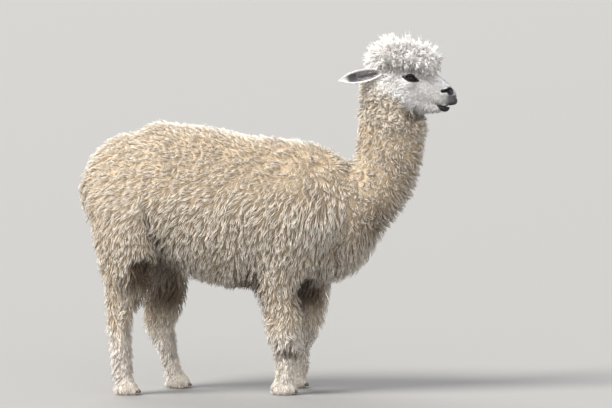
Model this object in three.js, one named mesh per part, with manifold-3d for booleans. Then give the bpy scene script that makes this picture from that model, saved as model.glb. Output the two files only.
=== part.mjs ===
// A huacaya alpaca in full fleece, standing and looking ahead, at life size.
// Millimetres, +X towards the nose, +Y to the animal's left, +Z up, origin on the floor under its middle.
//
// The body is a field of limbs. A limb is a run of oval rings along a curve, and limbs flow into one another
// with a fillet. The field's surface is the tips of the fleece. It is meshed and then parted with thin cuts.
import * as THREE from "three";
import { mergeVertices } from "three/addons/utils/BufferGeometryUtils.js";
import Module from "manifold-3d";

const wasm = await Module();
wasm.setup();

// ---------------------------------------------------------------- driving sizes

const GAP = 0.4; // between two parts that touch
const WORLD = 6000; // a block larger than the animal
const MERGE = 1e-3; // corners nearer than this are one
const SPAN_STEPS = 5; // straight pieces that stand for a curve between two rings
const SIDE = { left: 1, right: -1 }; // sign of Y on each side
const SIDES = Object.keys(SIDE);
const UPRIGHT = new THREE.Vector3(0, 0, 1);

const LEG_SPREAD = 112; // from the middle plane to the middle of a leg
const HEAD_TURN = THREE.MathUtils.degToRad(-11); // the head looks a little to its right
const POLL = new THREE.Vector3(452, 0, 1180); // the head turns about the upright line through here

const EYE = { at: new THREE.Vector3(556, 42, 1208), radius: 22 };
const EAR = {
  base: new THREE.Vector3(446, 58, 1234),
  length: 168,
  thick: 5,
  out: 17, // degrees outwards from straight back
  down: 11, // degrees from level, tip low
  roll: 12, // degrees that the cup opens upwards
  // Along the ear: [share of the length, half width, depth of the cup]
  outline: [[0, 14, 8], [0.1, 19, 13], [0.28, 26, 16], [0.5, 28, 15], [0.7, 24, 11], [0.87, 14, 5], [1, 3, 1]],
};

// Cuts, each a line from one point [x, z] to another, right across the body
const NECK_CUT = [[304, 912], [560, 764]]; // nape to chest
const HEAD_CUT = [[300, 1130], [640, 1052]]; // nape to throat
const MOUTH_CUT = [[600, 1123], [740, 1104]]; // lower lip to upper lip, in the head's frame
const JAW_BACK = [[600, 1123], [592, 1060]]; // the jaw lies before this line
const HIND_CUT = [[-800, 720], [-150, 372]]; // below the tail to the flank
const FORE_CUT = [[-110, 340], [330, 395]]; // below the belly
const LEG_DIVIDE = -140; // hind legs lie behind this X and forelegs before it
const HOCK_CUT = 290; // heights of the level cuts through the legs
const KNEE_CUT = 190;
const ANKLE_CUT = 74;

const LEG_BLEND = 60; // fillets between limbs
const NECK_BLEND = 60;
const HEAD_BLEND = 34;
const JAW_BLEND = 17;
const CROWN_BLEND = 30;
const PAD_BLEND = 12;
const ANKLE_BLEND = 24;

// A ring is [x, z, rise, drop, half width]. Rise and drop are the half depths either side of the middle line:
// up and down on the trunk and head, towards the nape and the throat on the neck, fore and aft on a leg.
const TRUNK = [
  [-545, 785, 222, 185, 165], // buttocks
  [-465, 775, 274, 205, 205], // croup
  [-380, 765, 280, 240, 224], // hips
  [-280, 745, 290, 288, 233], // loin
  [-130, 715, 290, 312, 240], // flank
  [0, 700, 290, 308, 238], // ribs
  [110, 690, 288, 294, 222], // shoulder
  [200, 664, 262, 262, 198], // withers
  [282, 616, 176, 200, 140], // breast
];
const NECK = [
  [240, 640, 130, 130, 150],
  [310, 680, 132, 128, 156],
  [375, 742, 130, 132, 150],
  [429, 815, 132, 136, 138],
  [460, 890, 136, 139, 124],
  [473, 965, 138, 141, 117],
  [478, 1040, 138, 136, 112],
  [472, 1110, 122, 100, 98],
];
const SKULL = [
  [420, 1170, 64, 80, 66], // nape
  [480, 1186, 72, 84, 70], // brain case
  [545, 1184, 70, 92, 62], // brow and cheek
  [600, 1170, 66, 78, 50], // face
  [645, 1158, 62, 52, 39], // bridge
  [680, 1147, 48, 38, 33], // nostrils
  [704, 1134, 35, 27, 28], // upper lip
];
const JAW = [
  [520, 1130, 40, 54, 50],
  [580, 1112, 30, 33, 40],
  [640, 1103, 18, 20, 29],
  [678, 1101, 13, 16, 24], // chin
];
const TAIL = [
  [-625, 905, 36, 36, 40],
  [-668, 850, 38, 36, 48],
  [-688, 780, 38, 37, 50],
  [-676, 702, 32, 30, 42],
];
// The hind legs stand apart, the left one forward; the forelegs stand almost together.
const HIND = {
  right: [
    [-530, 700, 120, 165, 98], // haunch
    [-540, 600, 124, 142, 100], // thigh
    [-540, 505, 118, 114, 92],
    [-545, 420, 100, 92, 76], // stifle fleece
    [-560, 345, 68, 75, 60], // hock
    [-560, 280, 46, 75, 52],
    [-556, 210, 38, 76, 47], // cannon, with its feather behind
    [-550, 140, 33, 70, 43],
    [-545, 80, 30, 64, 38],
    [-540, 40, 28, 60, 34],
  ],
  left: [
    [-480, 700, 120, 150, 98],
    [-450, 600, 130, 134, 100],
    [-410, 500, 114, 120, 92],
    [-390, 400, 84, 100, 78],
    [-405, 320, 74, 95, 64],
    [-418, 260, 68, 85, 56],
    [-412, 205, 58, 66, 50],
    [-398, 150, 48, 38, 44],
    [-380, 100, 36, 38, 40],
    [-366, 60, 34, 48, 37],
    [-352, 34, 34, 48, 35],
  ],
};
const FORE = {
  right: [
    [100, 640, 118, 122, 84], // shoulder
    [68, 540, 110, 120, 90], // elbow
    [34, 440, 92, 96, 86],
    [45, 360, 82, 80, 78], // forearm
    [58, 300, 82, 82, 72],
    [62, 240, 74, 76, 66],
    [72, 190, 66, 62, 58], // knee fleece
    [72, 150, 48, 56, 46],
    [68, 110, 40, 42, 42], // cannon
    [66, 70, 38, 40, 38],
    [62, 36, 38, 42, 36],
  ],
  left: [
    [130, 640, 118, 122, 84],
    [155, 540, 110, 116, 90],
    [165, 440, 92, 98, 86],
    [160, 345, 80, 80, 78],
    [148, 275, 74, 76, 70],
    [134, 218, 66, 66, 62],
    [122, 180, 50, 54, 52],
    [117, 130, 42, 44, 42],
    [116, 88, 43, 42, 38],
    [104, 42, 34, 38, 35],
  ],
};
// Fleece of the crown, as ovals: [x, z, half length, half height, half width]
const TOPKNOT = [
  [612, 1268, 66, 64, 78], // over the brow
  [545, 1288, 72, 62, 92],
  [478, 1288, 68, 74, 90], // crown
  [425, 1266, 48, 54, 76], // behind the ears
];
// Feet, from the middle of the leg's lowest ring: [ahead, aside, height, half length, half width, half height]
const FOOT = [
  [6, -18, 20, 40, 19, 24], // toes
  [6, 18, 20, 40, 19, 24],
  [-12, 0, 16, 34, 32, 22], // pad
];
const NAIL_OUTLINE = [[0, 1], [0.6, 0.9], [1, 0.35]]; // [share of the length, share of the width]
const NAIL = { ahead: 32, aside: 18, height: 17, length: 21, width: 9, deep: 7, droop: 7 };

// ---------------------------------------------------------------- fields, negative inside

const smoothMin = (a, b, k) => {
  const h = Math.max(k - Math.abs(a - b), 0) / k;
  return Math.min(a, b) - (h * h * k) / 4;
};

const join = (fields, k) => (p) => fields.reduce((d, f) => smoothMin(d, f(p), k), Infinity);

const ovalAt = (middle, radii) => {
  const least = Math.min(radii.x, radii.y, radii.z);
  const q = new THREE.Vector3();
  return (p) => (q.subVectors(p, middle).divide(radii).length() - 1) * least;
};

// Rings along a curve in a plane at a constant y, as a field.
function limb(rings, y = 0) {
  const curve = (points) => new THREE.CatmullRomCurve3(points, false, "catmullrom");
  const path = curve(rings.map(([x, z]) => new THREE.Vector3(x, y, z)));
  const sizes = curve(rings.map(([, , rise, drop, wide]) => new THREE.Vector3(rise, drop, wide)));
  const count = (rings.length - 1) * SPAN_STEPS;
  const at = Array.from({ length: count + 1 }, (_, i) => path.getPoint(i / count));
  const size = Array.from({ length: count + 1 }, (_, i) => sizes.getPoint(i / count));
  const along = at.map((_, i) => path.getTangent(i / count));
  const run = new THREE.Vector3();
  const off = new THREE.Vector3();
  const way = new THREE.Vector3();
  const half = new THREE.Vector3();
  return (p) => {
    let nearest = Infinity;
    let span = 0;
    let share = 0;
    for (let i = 0; i < count; i++) {
      run.subVectors(at[i + 1], at[i]);
      off.subVectors(p, at[i]);
      const s = THREE.MathUtils.clamp(off.dot(run) / run.lengthSq(), 0, 1);
      const d = off.addScaledVector(run, -s).lengthSq();
      if (d < nearest) [nearest, span, share] = [d, i, s];
    }
    off.lerpVectors(at[span], at[span + 1], share).subVectors(p, off);
    way.lerpVectors(along[span], along[span + 1], share).normalize();
    half.lerpVectors(size[span], size[span + 1], share);
    const beyond = off.dot(way);
    const across = off.y;
    const deep = off.z * way.x - off.x * way.z; // along the ring's own depth
    const depth = deep > 0 ? half.x : half.y;
    const least = Math.min(depth, half.z);
    const shape = Math.hypot(across / half.z, deep / depth, beyond / least);
    return (shape - 1) * least;
  };
}

// The field as the head holds it, turned about the upright line through the poll.
function turned(field) {
  const q = new THREE.Vector3();
  return (p) => field(q.subVectors(p, POLL).applyAxisAngle(UPRIGHT, -HEAD_TURN).add(POLL));
}

// ---------------------------------------------------------------- meshing

// Grid lines from stretches of [from, to, spacing], with one empty cell beyond each end.
const lines = (...stretches) => {
  const made = stretches.flatMap(([from, to, spacing]) => {
    const n = Math.max(1, Math.round((to - from) / spacing));
    return Array.from({ length: n }, (_, i) => from + ((to - from) * i) / n);
  });
  const [first, last] = [stretches[0], stretches.at(-1)];
  return [first[0] - first[2], ...made, last[1], last[1] + last[2]];
};

// The field's surface as a closed mesh. Each grid cell that it crosses gets a vertex for each sheet of surface
// in it, pulled onto the surface, and each grid line that it crosses gets a quad round it.
const AXES = [[1, 0, 0], [0, 1, 0], [0, 0, 1]];
const CORNERS = Array.from({ length: 8 }, (_, n) => [n & 1, (n >> 1) & 1, (n >> 2) & 1]);
const EDGES = CORNERS.flatMap((_, n) => [1, 2, 4].filter((bit) => !(n & bit)).map((bit) => [n, n | bit]));

function skinOf(field, [xs, ys, zs], level = 0) {
  const [nx, ny, nz] = [xs.length, ys.length, zs.length];
  const index = (i, j, k) => (k * ny + j) * nx + i;
  const values = new Float64Array(nx * ny * nz);
  const p = new THREE.Vector3();
  for (let k = 0; k < nz; k++)
    for (let j = 0; j < ny; j++)
      for (let i = 0; i < nx; i++) values[index(i, j, k)] = field(p.set(xs[i], ys[j], zs[k])) - level;

  const sheets = new Map(); // for each cell, a vertex number for each pair of an inner and an outer patch
  const positions = [];
  for (let k = 0; k < nz - 1; k++)
    for (let j = 0; j < ny - 1; j++)
      for (let i = 0; i < nx - 1; i++) {
        const at = CORNERS.map(([a, b, c]) => values[index(i + a, j + b, k + c)]);
        const crossed = EDGES.filter(([a, b]) => at[a] < 0 !== at[b] < 0);
        if (!crossed.length) continue;
        const patch = patches(at);
        const bySheet = new Map();
        for (const [a, b] of crossed) {
          const key = at[a] < 0 ? patch[a] * 8 + patch[b] : patch[b] * 8 + patch[a];
          const t = at[a] / (at[a] - at[b]);
          const mix = (line, n, m) =>
            line[m + CORNERS[a][n]] + t * (line[m + CORNERS[b][n]] - line[m + CORNERS[a][n]]);
          if (!bySheet.has(key)) bySheet.set(key, []);
          bySheet.get(key).push(new THREE.Vector3(mix(xs, 0, i), mix(ys, 1, j), mix(zs, 2, k)));
        }
        const numbers = new Map();
        for (const [key, hits] of bySheet) {
          numbers.set(key, positions.length / 3);
          const middle = hits.reduce((sum, v) => sum.add(v), new THREE.Vector3()).divideScalar(hits.length);
          positions.push(...pulled(field, middle, level).toArray());
        }
        sheets.set(index(i, j, k), { patch, numbers });
      }

  const triangles = [];
  const vertexAt = (cell, offset, inner, axis) => {
    const { patch, numbers } = sheets.get(index(...cell));
    const low = offset[0] + offset[1] * 2 + offset[2] * 4;
    const high = low | (1 << axis);
    return numbers.get(inner ? patch[low] * 8 + patch[high] : patch[high] * 8 + patch[low]);
  };
  for (let k = 1; k < nz - 1; k++)
    for (let j = 1; j < ny - 1; j++)
      for (let i = 1; i < nx - 1; i++) {
        const here = values[index(i, j, k)] < 0;
        AXES.forEach((along, axis) => {
          const there = values[index(i + along[0], j + along[1], k + along[2])] < 0;
          if (here === there) return;
          const [u, v] = [AXES[(axis + 1) % 3], AXES[(axis + 2) % 3]];
          const ring = [[1, 1], [0, 1], [0, 0], [1, 0]].map(([a, b]) => {
            const offset = [0, 1, 2].map((n) => a * u[n] + b * v[n]);
            return vertexAt([i - offset[0], j - offset[1], k - offset[2]], offset, here, axis);
          });
          if (!here) ring.reverse();
          triangles.push(ring[0], ring[1], ring[2], ring[0], ring[2], ring[3]);
        });
      }
  const made = new THREE.BufferGeometry();
  made.setAttribute("position", new THREE.Float32BufferAttribute(positions, 3));
  made.setIndex(triangles);
  return made;
}

// The patch of like corners that each of a cell's corners is in. Outer corners also join across a face.
function patches(at) {
  const patch = CORNERS.map((_, n) => n);
  const merge = (a, b) => {
    const [from, to] = [Math.max(patch[a], patch[b]), Math.min(patch[a], patch[b])];
    patch.forEach((v, n) => (patch[n] = v === from ? to : v));
  };
  EDGES.forEach(([a, b]) => at[a] < 0 === at[b] < 0 && merge(a, b));
  CORNERS.forEach((_, a) =>
    [3, 5, 6].forEach((bits) => {
      const b = a ^ bits;
      if (a < b && at[a] >= 0 && at[b] >= 0) merge(a, b);
    }),
  );
  return patch;
}

// A point moved down the field's slope until it lies on the surface.
function pulled(field, point, level) {
  const step = 1; // mm, for the slope
  const q = new THREE.Vector3();
  for (let pass = 0; pass < 3; pass++) {
    const value = field(point) - level;
    const slope = new THREE.Vector3(
      field(q.copy(point).setX(point.x + step)) - level - value,
      field(q.copy(point).setY(point.y + step)) - level - value,
      field(q.copy(point).setZ(point.z + step)) - level - value,
    ).divideScalar(step);
    if (slope.lengthSq() < 0.01) break;
    point.addScaledVector(slope, -value / slope.lengthSq() / 1.2);
  }
  return point;
}

// Rings of equal length joined in turn, with a flat fan at each end, as a closed mesh.
function loft(rings) {
  const n = rings[0].length;
  const made = new THREE.BufferGeometry();
  made.setAttribute("position", new THREE.Float32BufferAttribute(rings.flat().flatMap((v) => v.toArray()), 3));
  const triangles = [];
  for (let r = 0; r < rings.length - 1; r++)
    for (let i = 0; i < n; i++) {
      const [a, b] = [r * n + i, r * n + ((i + 1) % n)];
      triangles.push(a, b, b + n, a, b + n, a + n);
    }
  const last = (rings.length - 1) * n;
  for (let i = 1; i < n - 1; i++) triangles.push(0, i + 1, i, last, last + i, last + i + 1);
  made.setIndex(triangles);
  return made;
}

// The same mesh with its corners moved out by a distance.
function grown(geometry, out) {
  const made = bare(geometry);
  made.computeVertexNormals();
  const { position, normal } = made.attributes;
  for (let i = 0; i < position.count; i++) {
    position.setX(i, position.getX(i) + normal.getX(i) * out);
    position.setY(i, position.getY(i) + normal.getY(i) * out);
    position.setZ(i, position.getZ(i) + normal.getZ(i) * out);
  }
  return made;
}

function mirroredY(geometry) {
  geometry.scale(1, -1, 1);
  const index = geometry.index.array;
  for (let i = 0; i < index.length; i += 3) [index[i + 1], index[i + 2]] = [index[i + 2], index[i + 1]];
  return geometry;
}

// ---------------------------------------------------------------- solids

// A geometry with nothing but merged positions.
function bare(geometry) {
  return mergeVertices(geometry.clone().deleteAttribute("normal").deleteAttribute("uv"), MERGE);
}

function solid(geometry) {
  const { attributes, index } = bare(geometry);
  const vertProperties = new Float32Array(attributes.position.array);
  const triVerts = new Uint32Array(index.array);
  return new wasm.Manifold(new wasm.Mesh({ numProp: 3, vertProperties, triVerts }));
}

function geometryOf(made) {
  const { vertProperties, triVerts, numProp, numVert } = made.getMesh();
  const positions = new Float32Array(numVert * 3);
  for (let i = 0; i < numVert; i++) positions.set(vertProperties.subarray(i * numProp, i * numProp + 3), i * 3);
  const geometry = new THREE.BufferGeometry();
  geometry.setAttribute("position", new THREE.BufferAttribute(positions, 3));
  geometry.setIndex(new THREE.BufferAttribute(new Uint32Array(triVerts), 1));
  geometry.computeVertexNormals();
  return geometry;
}

// The room that a solid takes, with the gap round it.
const roomFor = (made) => solid(grown(geometryOf(made), GAP * 1.6));
const largest = (made) => made.decompose().reduce((a, b) => (b.volume() > a.volume() ? b : a));

// The half of space to the right of the way from [x0, z0] to [x1, z1], as a block, back from it by half a gap.
function halfBlock([x0, z0], [x1, z1]) {
  const block = new THREE.BoxGeometry(WORLD, WORLD, WORLD).translate(0, 0, -(WORLD + GAP) / 2);
  return block.rotateY(-Math.atan2(z1 - z0, x1 - x0)).translate(x0, 0, z0);
}
const below = ([from, to]) => solid(halfBlock(from, to));
const above = ([from, to]) => solid(halfBlock(to, from));
const level = (z) => [[0, z], [1, z]];
const behind = (x) => [[x, 1], [x, 0]]; // as a cut: what is below it lies behind x
const halfOf = (side) => {
  const block = new THREE.BoxGeometry(WORLD, WORLD, WORLD);
  return solid(block.translate(0, (SIDE[side] * (WORLD + GAP)) / 2, 0));
};

// A geometry made in the head's own frame, turned with the head.
const onHead = (geometry) =>
  geometry.translate(-POLL.x, -POLL.y, -POLL.z).rotateZ(HEAD_TURN).translate(POLL.x, POLL.y, POLL.z);

// ---------------------------------------------------------------- the animal

const materials = {
  fleece: new THREE.MeshStandardMaterial({ color: 0xe2d7bf, roughness: 0.95, metalness: 0 }),
  hair: new THREE.MeshStandardMaterial({ color: 0xdedad4, roughness: 0.85, metalness: 0 }),
  eye: new THREE.MeshStandardMaterial({ color: 0x16110e, roughness: 0.12, metalness: 0 }),
  horn: new THREE.MeshStandardMaterial({ color: 0x3a332d, roughness: 0.55, metalness: 0 }),
};
const group = new THREE.Group();
group.name = "alpaca";

function add(name, made, material) {
  const mesh = new THREE.Mesh(geometryOf(made), material.clone());
  mesh.name = name;
  group.add(mesh);
}

const legField = (rings, side) => limb(rings, SIDE[side] * LEG_SPREAD);
const torsoField = join([limb(TRUNK), limb(NECK)], NECK_BLEND);
const legFields = SIDES.flatMap((side) => [legField(HIND[side], side), legField(FORE[side], side)]);
const bodyField = (p) => {
  const torso = torsoField(p);
  return legFields.reduce((d, leg) => Math.min(d, smoothMin(torso, leg(p), LEG_BLEND)), torso);
};

// The torso and the legs are meshed apart, each to its own spacing, and both run past the cuts between them.
function torsoMesh() {
  const floor = 315;
  const grid = [
    lines([-750, -500, 50], [-500, 160, 68], [160, 640, 48]),
    lines([-280, -180, 38], [-180, 180, 51], [180, 280, 38]),
    lines([floor, 500, 45], [500, 860, 64], [860, 1000, 46], [1000, 1200, 56]),
  ];
  return solid(skinOf((p) => Math.max(bodyField(p), floor - p.z), grid));
}

function legMesh() {
  const [top, front] = [730, 330];
  const grid = [
    lines([-740, -260, 38], [-260, -90, 80], [-90, front + 10, 38]),
    lines([-272, -200, 36], [-200, 200, 30], [200, 272, 36]),
    lines([-10, 40, 25], [40, 340, 50], [340, top, 60]),
  ];
  return solid(skinOf((p) => Math.max(bodyField(p), p.z - top, p.x - front), grid));
}

function addTorso() {
  const torso = torsoMesh();
  const trunk = torso
    .intersect(below(NECK_CUT))
    .intersect(above(HIND_CUT).add(above(behind(LEG_DIVIDE))))
    .intersect(above(FORE_CUT).add(below(behind(LEG_DIVIDE))));
  const tailGrid = [lines([-750, -560, 30]), lines([-66, 66, 24]), lines([640, 960, 44])];
  add("trunk", trunk, materials.fleece);
  add("neck", torso.intersect(above(NECK_CUT)).intersect(below(HEAD_CUT)), materials.fleece);
  add("tail", solid(skinOf(limb(TAIL), tailGrid)).subtract(roomFor(trunk)), materials.fleece);
}

function headMesh() {
  const floor = 1030; // of the head's own stub of neck, which HEAD_CUT trims
  const neck = limb(NECK);
  const face = turned(join([limb(SKULL), limb(JAW)], JAW_BLEND));
  const grid = [
    lines([300, 480, 36], [480, 620, 24], [620, 760, 17]),
    lines([-190, -110, 30], [-110, 80, 19], [80, 190, 30]),
    lines([floor, 1090, 34], [1090, 1290, 19]),
  ];
  return solid(skinOf((p) => Math.max(smoothMin(neck(p), face(p), HEAD_BLEND), floor - p.z), grid));
}

function crownMesh() {
  const ovals = TOPKNOT.map(([x, z, long, high, wide]) =>
    ovalAt(new THREE.Vector3(x, 0, z), new THREE.Vector3(long, wide, high)),
  );
  const grid = [lines([350, 710, 33]), lines([-150, 130, 31]), lines([1170, 1390, 30])];
  return solid(skinOf(turned(join(ovals, CROWN_BLEND)), grid));
}

function eyeball(side, radius) {
  const ball = new THREE.SphereGeometry(radius, 12, 7).rotateX(Math.PI / 2);
  return solid(onHead(ball.translate(EYE.at.x, SIDE[side] * EYE.at.y, EYE.at.z)));
}

// An ear as a cupped leaf, made from its base back along -X, with the cup open to +Y, and then set on the head.
function earLeaf(side) {
  const across = [-1, -0.55, 0, 0.55, 1];
  const rings = EAR.outline.map(([share, half, cup]) => {
    const inside = (u) => new THREE.Vector3(-EAR.length * share, cup * (u * u - 1), half * u);
    const outside = (u) => inside(u * 0.94).add(new THREE.Vector3(0, -EAR.thick, 0));
    return [...across.map(inside), ...across.toReversed().map(outside)];
  });
  const leaf = loft(rings.toReversed());
  leaf.rotateX(THREE.MathUtils.degToRad(EAR.roll));
  leaf.rotateY(-THREE.MathUtils.degToRad(EAR.down));
  leaf.rotateZ(-THREE.MathUtils.degToRad(EAR.out));
  leaf.translate(EAR.base.x, EAR.base.y, EAR.base.z);
  return solid(onHead(side === "right" ? mirroredY(leaf) : leaf));
}

// The fleece of the crown sits in the head like a cap, the eyes in sockets, and the jaw is parted at the mouth.
function addHead() {
  const crown = crownMesh();
  const whole = headMesh().intersect(above(HEAD_CUT));
  const [crownRoom, wholeRoom] = [roomFor(crown), roomFor(whole)];
  const jawZone = solid(onHead(halfBlock(...MOUTH_CUT))).intersect(solid(onHead(halfBlock(...JAW_BACK))));
  let head = whole.subtract(crownRoom);
  let topknot = crown;
  for (const side of SIDES) {
    const socket = eyeball(side, EYE.radius + GAP);
    head = head.subtract(socket);
    topknot = topknot.subtract(socket);
    add(`eye_${side}`, eyeball(side, EYE.radius), materials.eye);
    add(`ear_${side}`, largest(earLeaf(side).subtract(wholeRoom).subtract(crownRoom)), materials.hair);
  }
  add("head", head.subtract(solid(grown(geometryOf(jawZone), GAP))), materials.hair);
  add("jaw", head.intersect(jawZone), materials.hair);
  add("topknot", topknot, materials.fleece);
}

// A toenail from its root forward, drooping to a blunt tip.
function toenail() {
  const corners = 6;
  const rings = NAIL_OUTLINE.map(([share, size]) =>
    Array.from({ length: corners }, (_, i) => {
      const turn = (i / corners) * Math.PI * 2;
      const fall = -NAIL.droop * share * share;
      const y = NAIL.width * size * Math.cos(turn);
      return new THREE.Vector3(NAIL.length * share, y, fall + NAIL.deep * size * Math.sin(turn));
    }),
  );
  return loft(rings);
}

function footMesh(rings, side) {
  const top = 96; // past ANKLE_CUT
  const [x] = rings.at(-1);
  const y = SIDE[side] * LEG_SPREAD;
  const ankle = legField(rings, side);
  const ovals = FOOT.map(([ahead, aside, z, long, wide, high]) =>
    ovalAt(new THREE.Vector3(x + ahead, y + aside, z), new THREE.Vector3(long, wide, high)),
  );
  const pads = join(ovals, PAD_BLEND);
  const grid = [lines([x - 90, x + 70, 25]), lines([y - 54, y + 54, 19]), lines([-20, top, 25])];
  return solid(skinOf((p) => Math.max(smoothMin(ankle(p), pads(p), ANKLE_BLEND), p.z - top), grid));
}

function addFoot(pair, rings, side) {
  const floor = level(-GAP / 2); // the sole's flat comes out at zero
  let foot = footMesh(rings, side).intersect(below(level(ANKLE_CUT))).intersect(above(floor));
  for (const [place, aside] of [["outer", SIDE[side]], ["inner", -SIDE[side]]]) {
    const x = rings.at(-1)[0] + NAIL.ahead;
    const y = SIDE[side] * LEG_SPREAD + aside * NAIL.aside;
    const nail = solid(toenail().translate(x, y, NAIL.height));
    foot = foot.subtract(roomFor(nail));
    add(`${pair}_nail_${place}_${side}`, nail, materials.horn);
  }
  add(`${pair}_foot_${side}`, foot, materials.fleece);
}

function addLegs() {
  const legs = legMesh();
  const pairs = [
    { pair: "hind", rings: HIND, upper: "thigh", shin: "shank", cut: HOCK_CUT, line: HIND_CUT, half: below },
    { pair: "fore", rings: FORE, upper: "arm", shin: "cannon", cut: KNEE_CUT, line: FORE_CUT, half: above },
  ];
  for (const { pair, rings, upper, shin, cut, line, half } of pairs)
    for (const side of SIDES) {
      const zone = below(line).intersect(half(behind(LEG_DIVIDE))).intersect(halfOf(side));
      const leg = largest(legs.intersect(zone));
      const lower = leg.intersect(below(level(cut))).intersect(above(level(ANKLE_CUT)));
      add(`${pair}_${upper}_${side}`, leg.intersect(above(level(cut))), materials.fleece);
      add(`${pair}_${shin}_${side}`, lower, materials.fleece);
      addFoot(pair, rings[side], side);
    }
}

addTorso();
addHead();
addLegs();

export default group;
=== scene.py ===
"""The looks of the alpaca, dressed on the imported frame: its skin, fleece, face, eyes and toenails.

Metres, +X towards the nose, +Y to the animal's left, +Z up, as the frame has them.
The skin and the fleece come from one pair of fields: the tips of the fleece, and the skin under it.
"""
import math

import bpy
import numpy as np
from mathutils import Euler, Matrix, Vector
from mathutils.kdtree import KDTree


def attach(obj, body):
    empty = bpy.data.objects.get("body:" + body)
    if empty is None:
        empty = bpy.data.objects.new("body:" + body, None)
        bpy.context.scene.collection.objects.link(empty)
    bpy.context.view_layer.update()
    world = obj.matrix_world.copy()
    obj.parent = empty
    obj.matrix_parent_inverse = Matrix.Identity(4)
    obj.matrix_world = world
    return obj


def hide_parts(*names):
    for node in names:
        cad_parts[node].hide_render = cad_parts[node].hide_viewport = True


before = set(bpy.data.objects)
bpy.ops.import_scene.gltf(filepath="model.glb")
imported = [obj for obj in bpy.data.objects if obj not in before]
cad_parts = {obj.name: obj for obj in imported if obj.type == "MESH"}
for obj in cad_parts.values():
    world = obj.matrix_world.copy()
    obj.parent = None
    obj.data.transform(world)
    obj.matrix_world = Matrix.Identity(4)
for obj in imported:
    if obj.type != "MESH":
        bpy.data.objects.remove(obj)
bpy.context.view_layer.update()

# ---------------------------------------------------------------- driving sizes

SIDES = {"left": 1, "right": -1}
LEG_SPREAD = 0.112  # from the middle plane to the middle of a leg
HEAD_TURN = math.radians(-11)  # the head looks a little to its right
POLL = np.array([0.452, 0, 1.180])  # the head turns about the upright line through here
SPAN_STEPS = 5  # straight pieces that stand for a curve between two rings
FAR = 1.0  # a field's value well outside it
LEAST_FLESH = 0.45  # of a ring's half depth, however deep the coat
LIMB_MARGIN = 0.07  # a limb's field is worked out this far past its rings

LEG_BLEND = 0.060  # fillets between limbs
NECK_BLEND = 0.060
HEAD_BLEND = 0.034
JAW_BLEND = 0.017
CROWN_BLEND = 0.030
TAIL_BLEND = 0.030
PAD_BLEND = 0.007
ANKLE_BLEND = 0.024
CAP_BLEND = 0.016


def millimetres(*rows):
    """Rows of millimetres as an array in metres."""
    return np.array(rows) / 1000


# A ring is [x, z, rise, drop, half width]. Rise and drop are the half depths either side of the middle
# line: up and down on the trunk and head, towards nape and throat on the neck, fore and aft on a leg.
TRUNK = millimetres(
    [-545, 785, 222, 185, 165], [-465, 775, 274, 205, 205], [-380, 765, 280, 240, 224],
    [-280, 745, 290, 288, 233], [-130, 715, 290, 312, 240], [0, 700, 290, 308, 238],
    [110, 690, 288, 294, 222], [200, 664, 262, 262, 198], [282, 616, 176, 200, 140],
)
NECK = millimetres(
    [240, 640, 130, 130, 150], [310, 680, 132, 128, 156], [375, 742, 130, 132, 150],
    [429, 815, 132, 136, 138], [460, 890, 136, 139, 124], [473, 965, 138, 141, 117],
    [478, 1040, 138, 136, 112], [472, 1110, 122, 100, 98],
)
SKULL = millimetres(
    [420, 1170, 64, 80, 66], [480, 1186, 72, 84, 70], [545, 1184, 70, 92, 62], [600, 1170, 66, 78, 50],
    [645, 1158, 62, 52, 39], [680, 1147, 48, 38, 33], [704, 1134, 35, 27, 28],
)
JAW = millimetres(
    [520, 1130, 40, 54, 50], [580, 1112, 30, 33, 40], [640, 1103, 18, 20, 29], [678, 1101, 13, 16, 24],
)
TAIL = millimetres(
    [-625, 905, 36, 36, 40], [-668, 850, 38, 36, 48], [-688, 780, 38, 37, 50], [-676, 702, 32, 30, 42],
)
HIND = {
    "right": millimetres(
        [-530, 700, 120, 165, 98], [-540, 600, 124, 142, 100], [-540, 505, 118, 114, 92],
        [-545, 420, 100, 92, 76], [-560, 345, 68, 75, 60], [-560, 280, 46, 75, 52],
        [-556, 210, 38, 76, 47], [-550, 140, 33, 70, 43], [-545, 80, 30, 64, 38],
        [-540, 40, 28, 60, 34],
    ),
    "left": millimetres(
        [-480, 700, 120, 150, 98], [-450, 600, 130, 134, 100], [-410, 500, 114, 120, 92],
        [-390, 400, 84, 100, 78], [-405, 320, 74, 95, 64], [-418, 260, 68, 85, 56],
        [-412, 205, 58, 66, 50], [-398, 150, 48, 38, 44], [-380, 100, 36, 38, 40],
        [-366, 60, 34, 48, 37], [-352, 34, 34, 48, 35],
    ),
}
FORE = {
    "right": millimetres(
        [100, 640, 118, 122, 84], [68, 540, 110, 120, 90], [34, 440, 92, 96, 86], [45, 360, 82, 80, 78],
        [58, 300, 82, 82, 72], [62, 240, 74, 76, 66], [72, 190, 66, 62, 58], [72, 150, 48, 56, 46],
        [68, 110, 40, 42, 42], [66, 70, 38, 40, 38], [62, 36, 38, 42, 36],
    ),
    "left": millimetres(
        [130, 640, 118, 122, 84], [155, 540, 110, 116, 90], [165, 440, 92, 98, 86],
        [160, 345, 80, 80, 78], [148, 275, 74, 76, 70], [134, 218, 66, 66, 62], [122, 180, 50, 54, 52],
        [117, 130, 42, 44, 42], [116, 88, 43, 42, 38], [104, 42, 34, 38, 35],
    ),
}
LEGS = {"hind": HIND, "fore": FORE}
# Wool of the crown, as ovals in the head's frame: [x, z, half length, half height, half width]
TOPKNOT = millimetres(
    [612, 1268, 66, 64, 78], [545, 1288, 72, 62, 92], [478, 1288, 68, 74, 90], [425, 1266, 48, 54, 76],
)
# Feet, from the middle of the leg's lowest ring:
# [ahead, aside, height, half length, half width, half height]
FOOT = millimetres(
    [6, -18, 20, 40, 19, 24], [6, 18, 20, 40, 19, 24], [-12, 0, 16, 34, 32, 22],
)

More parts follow.
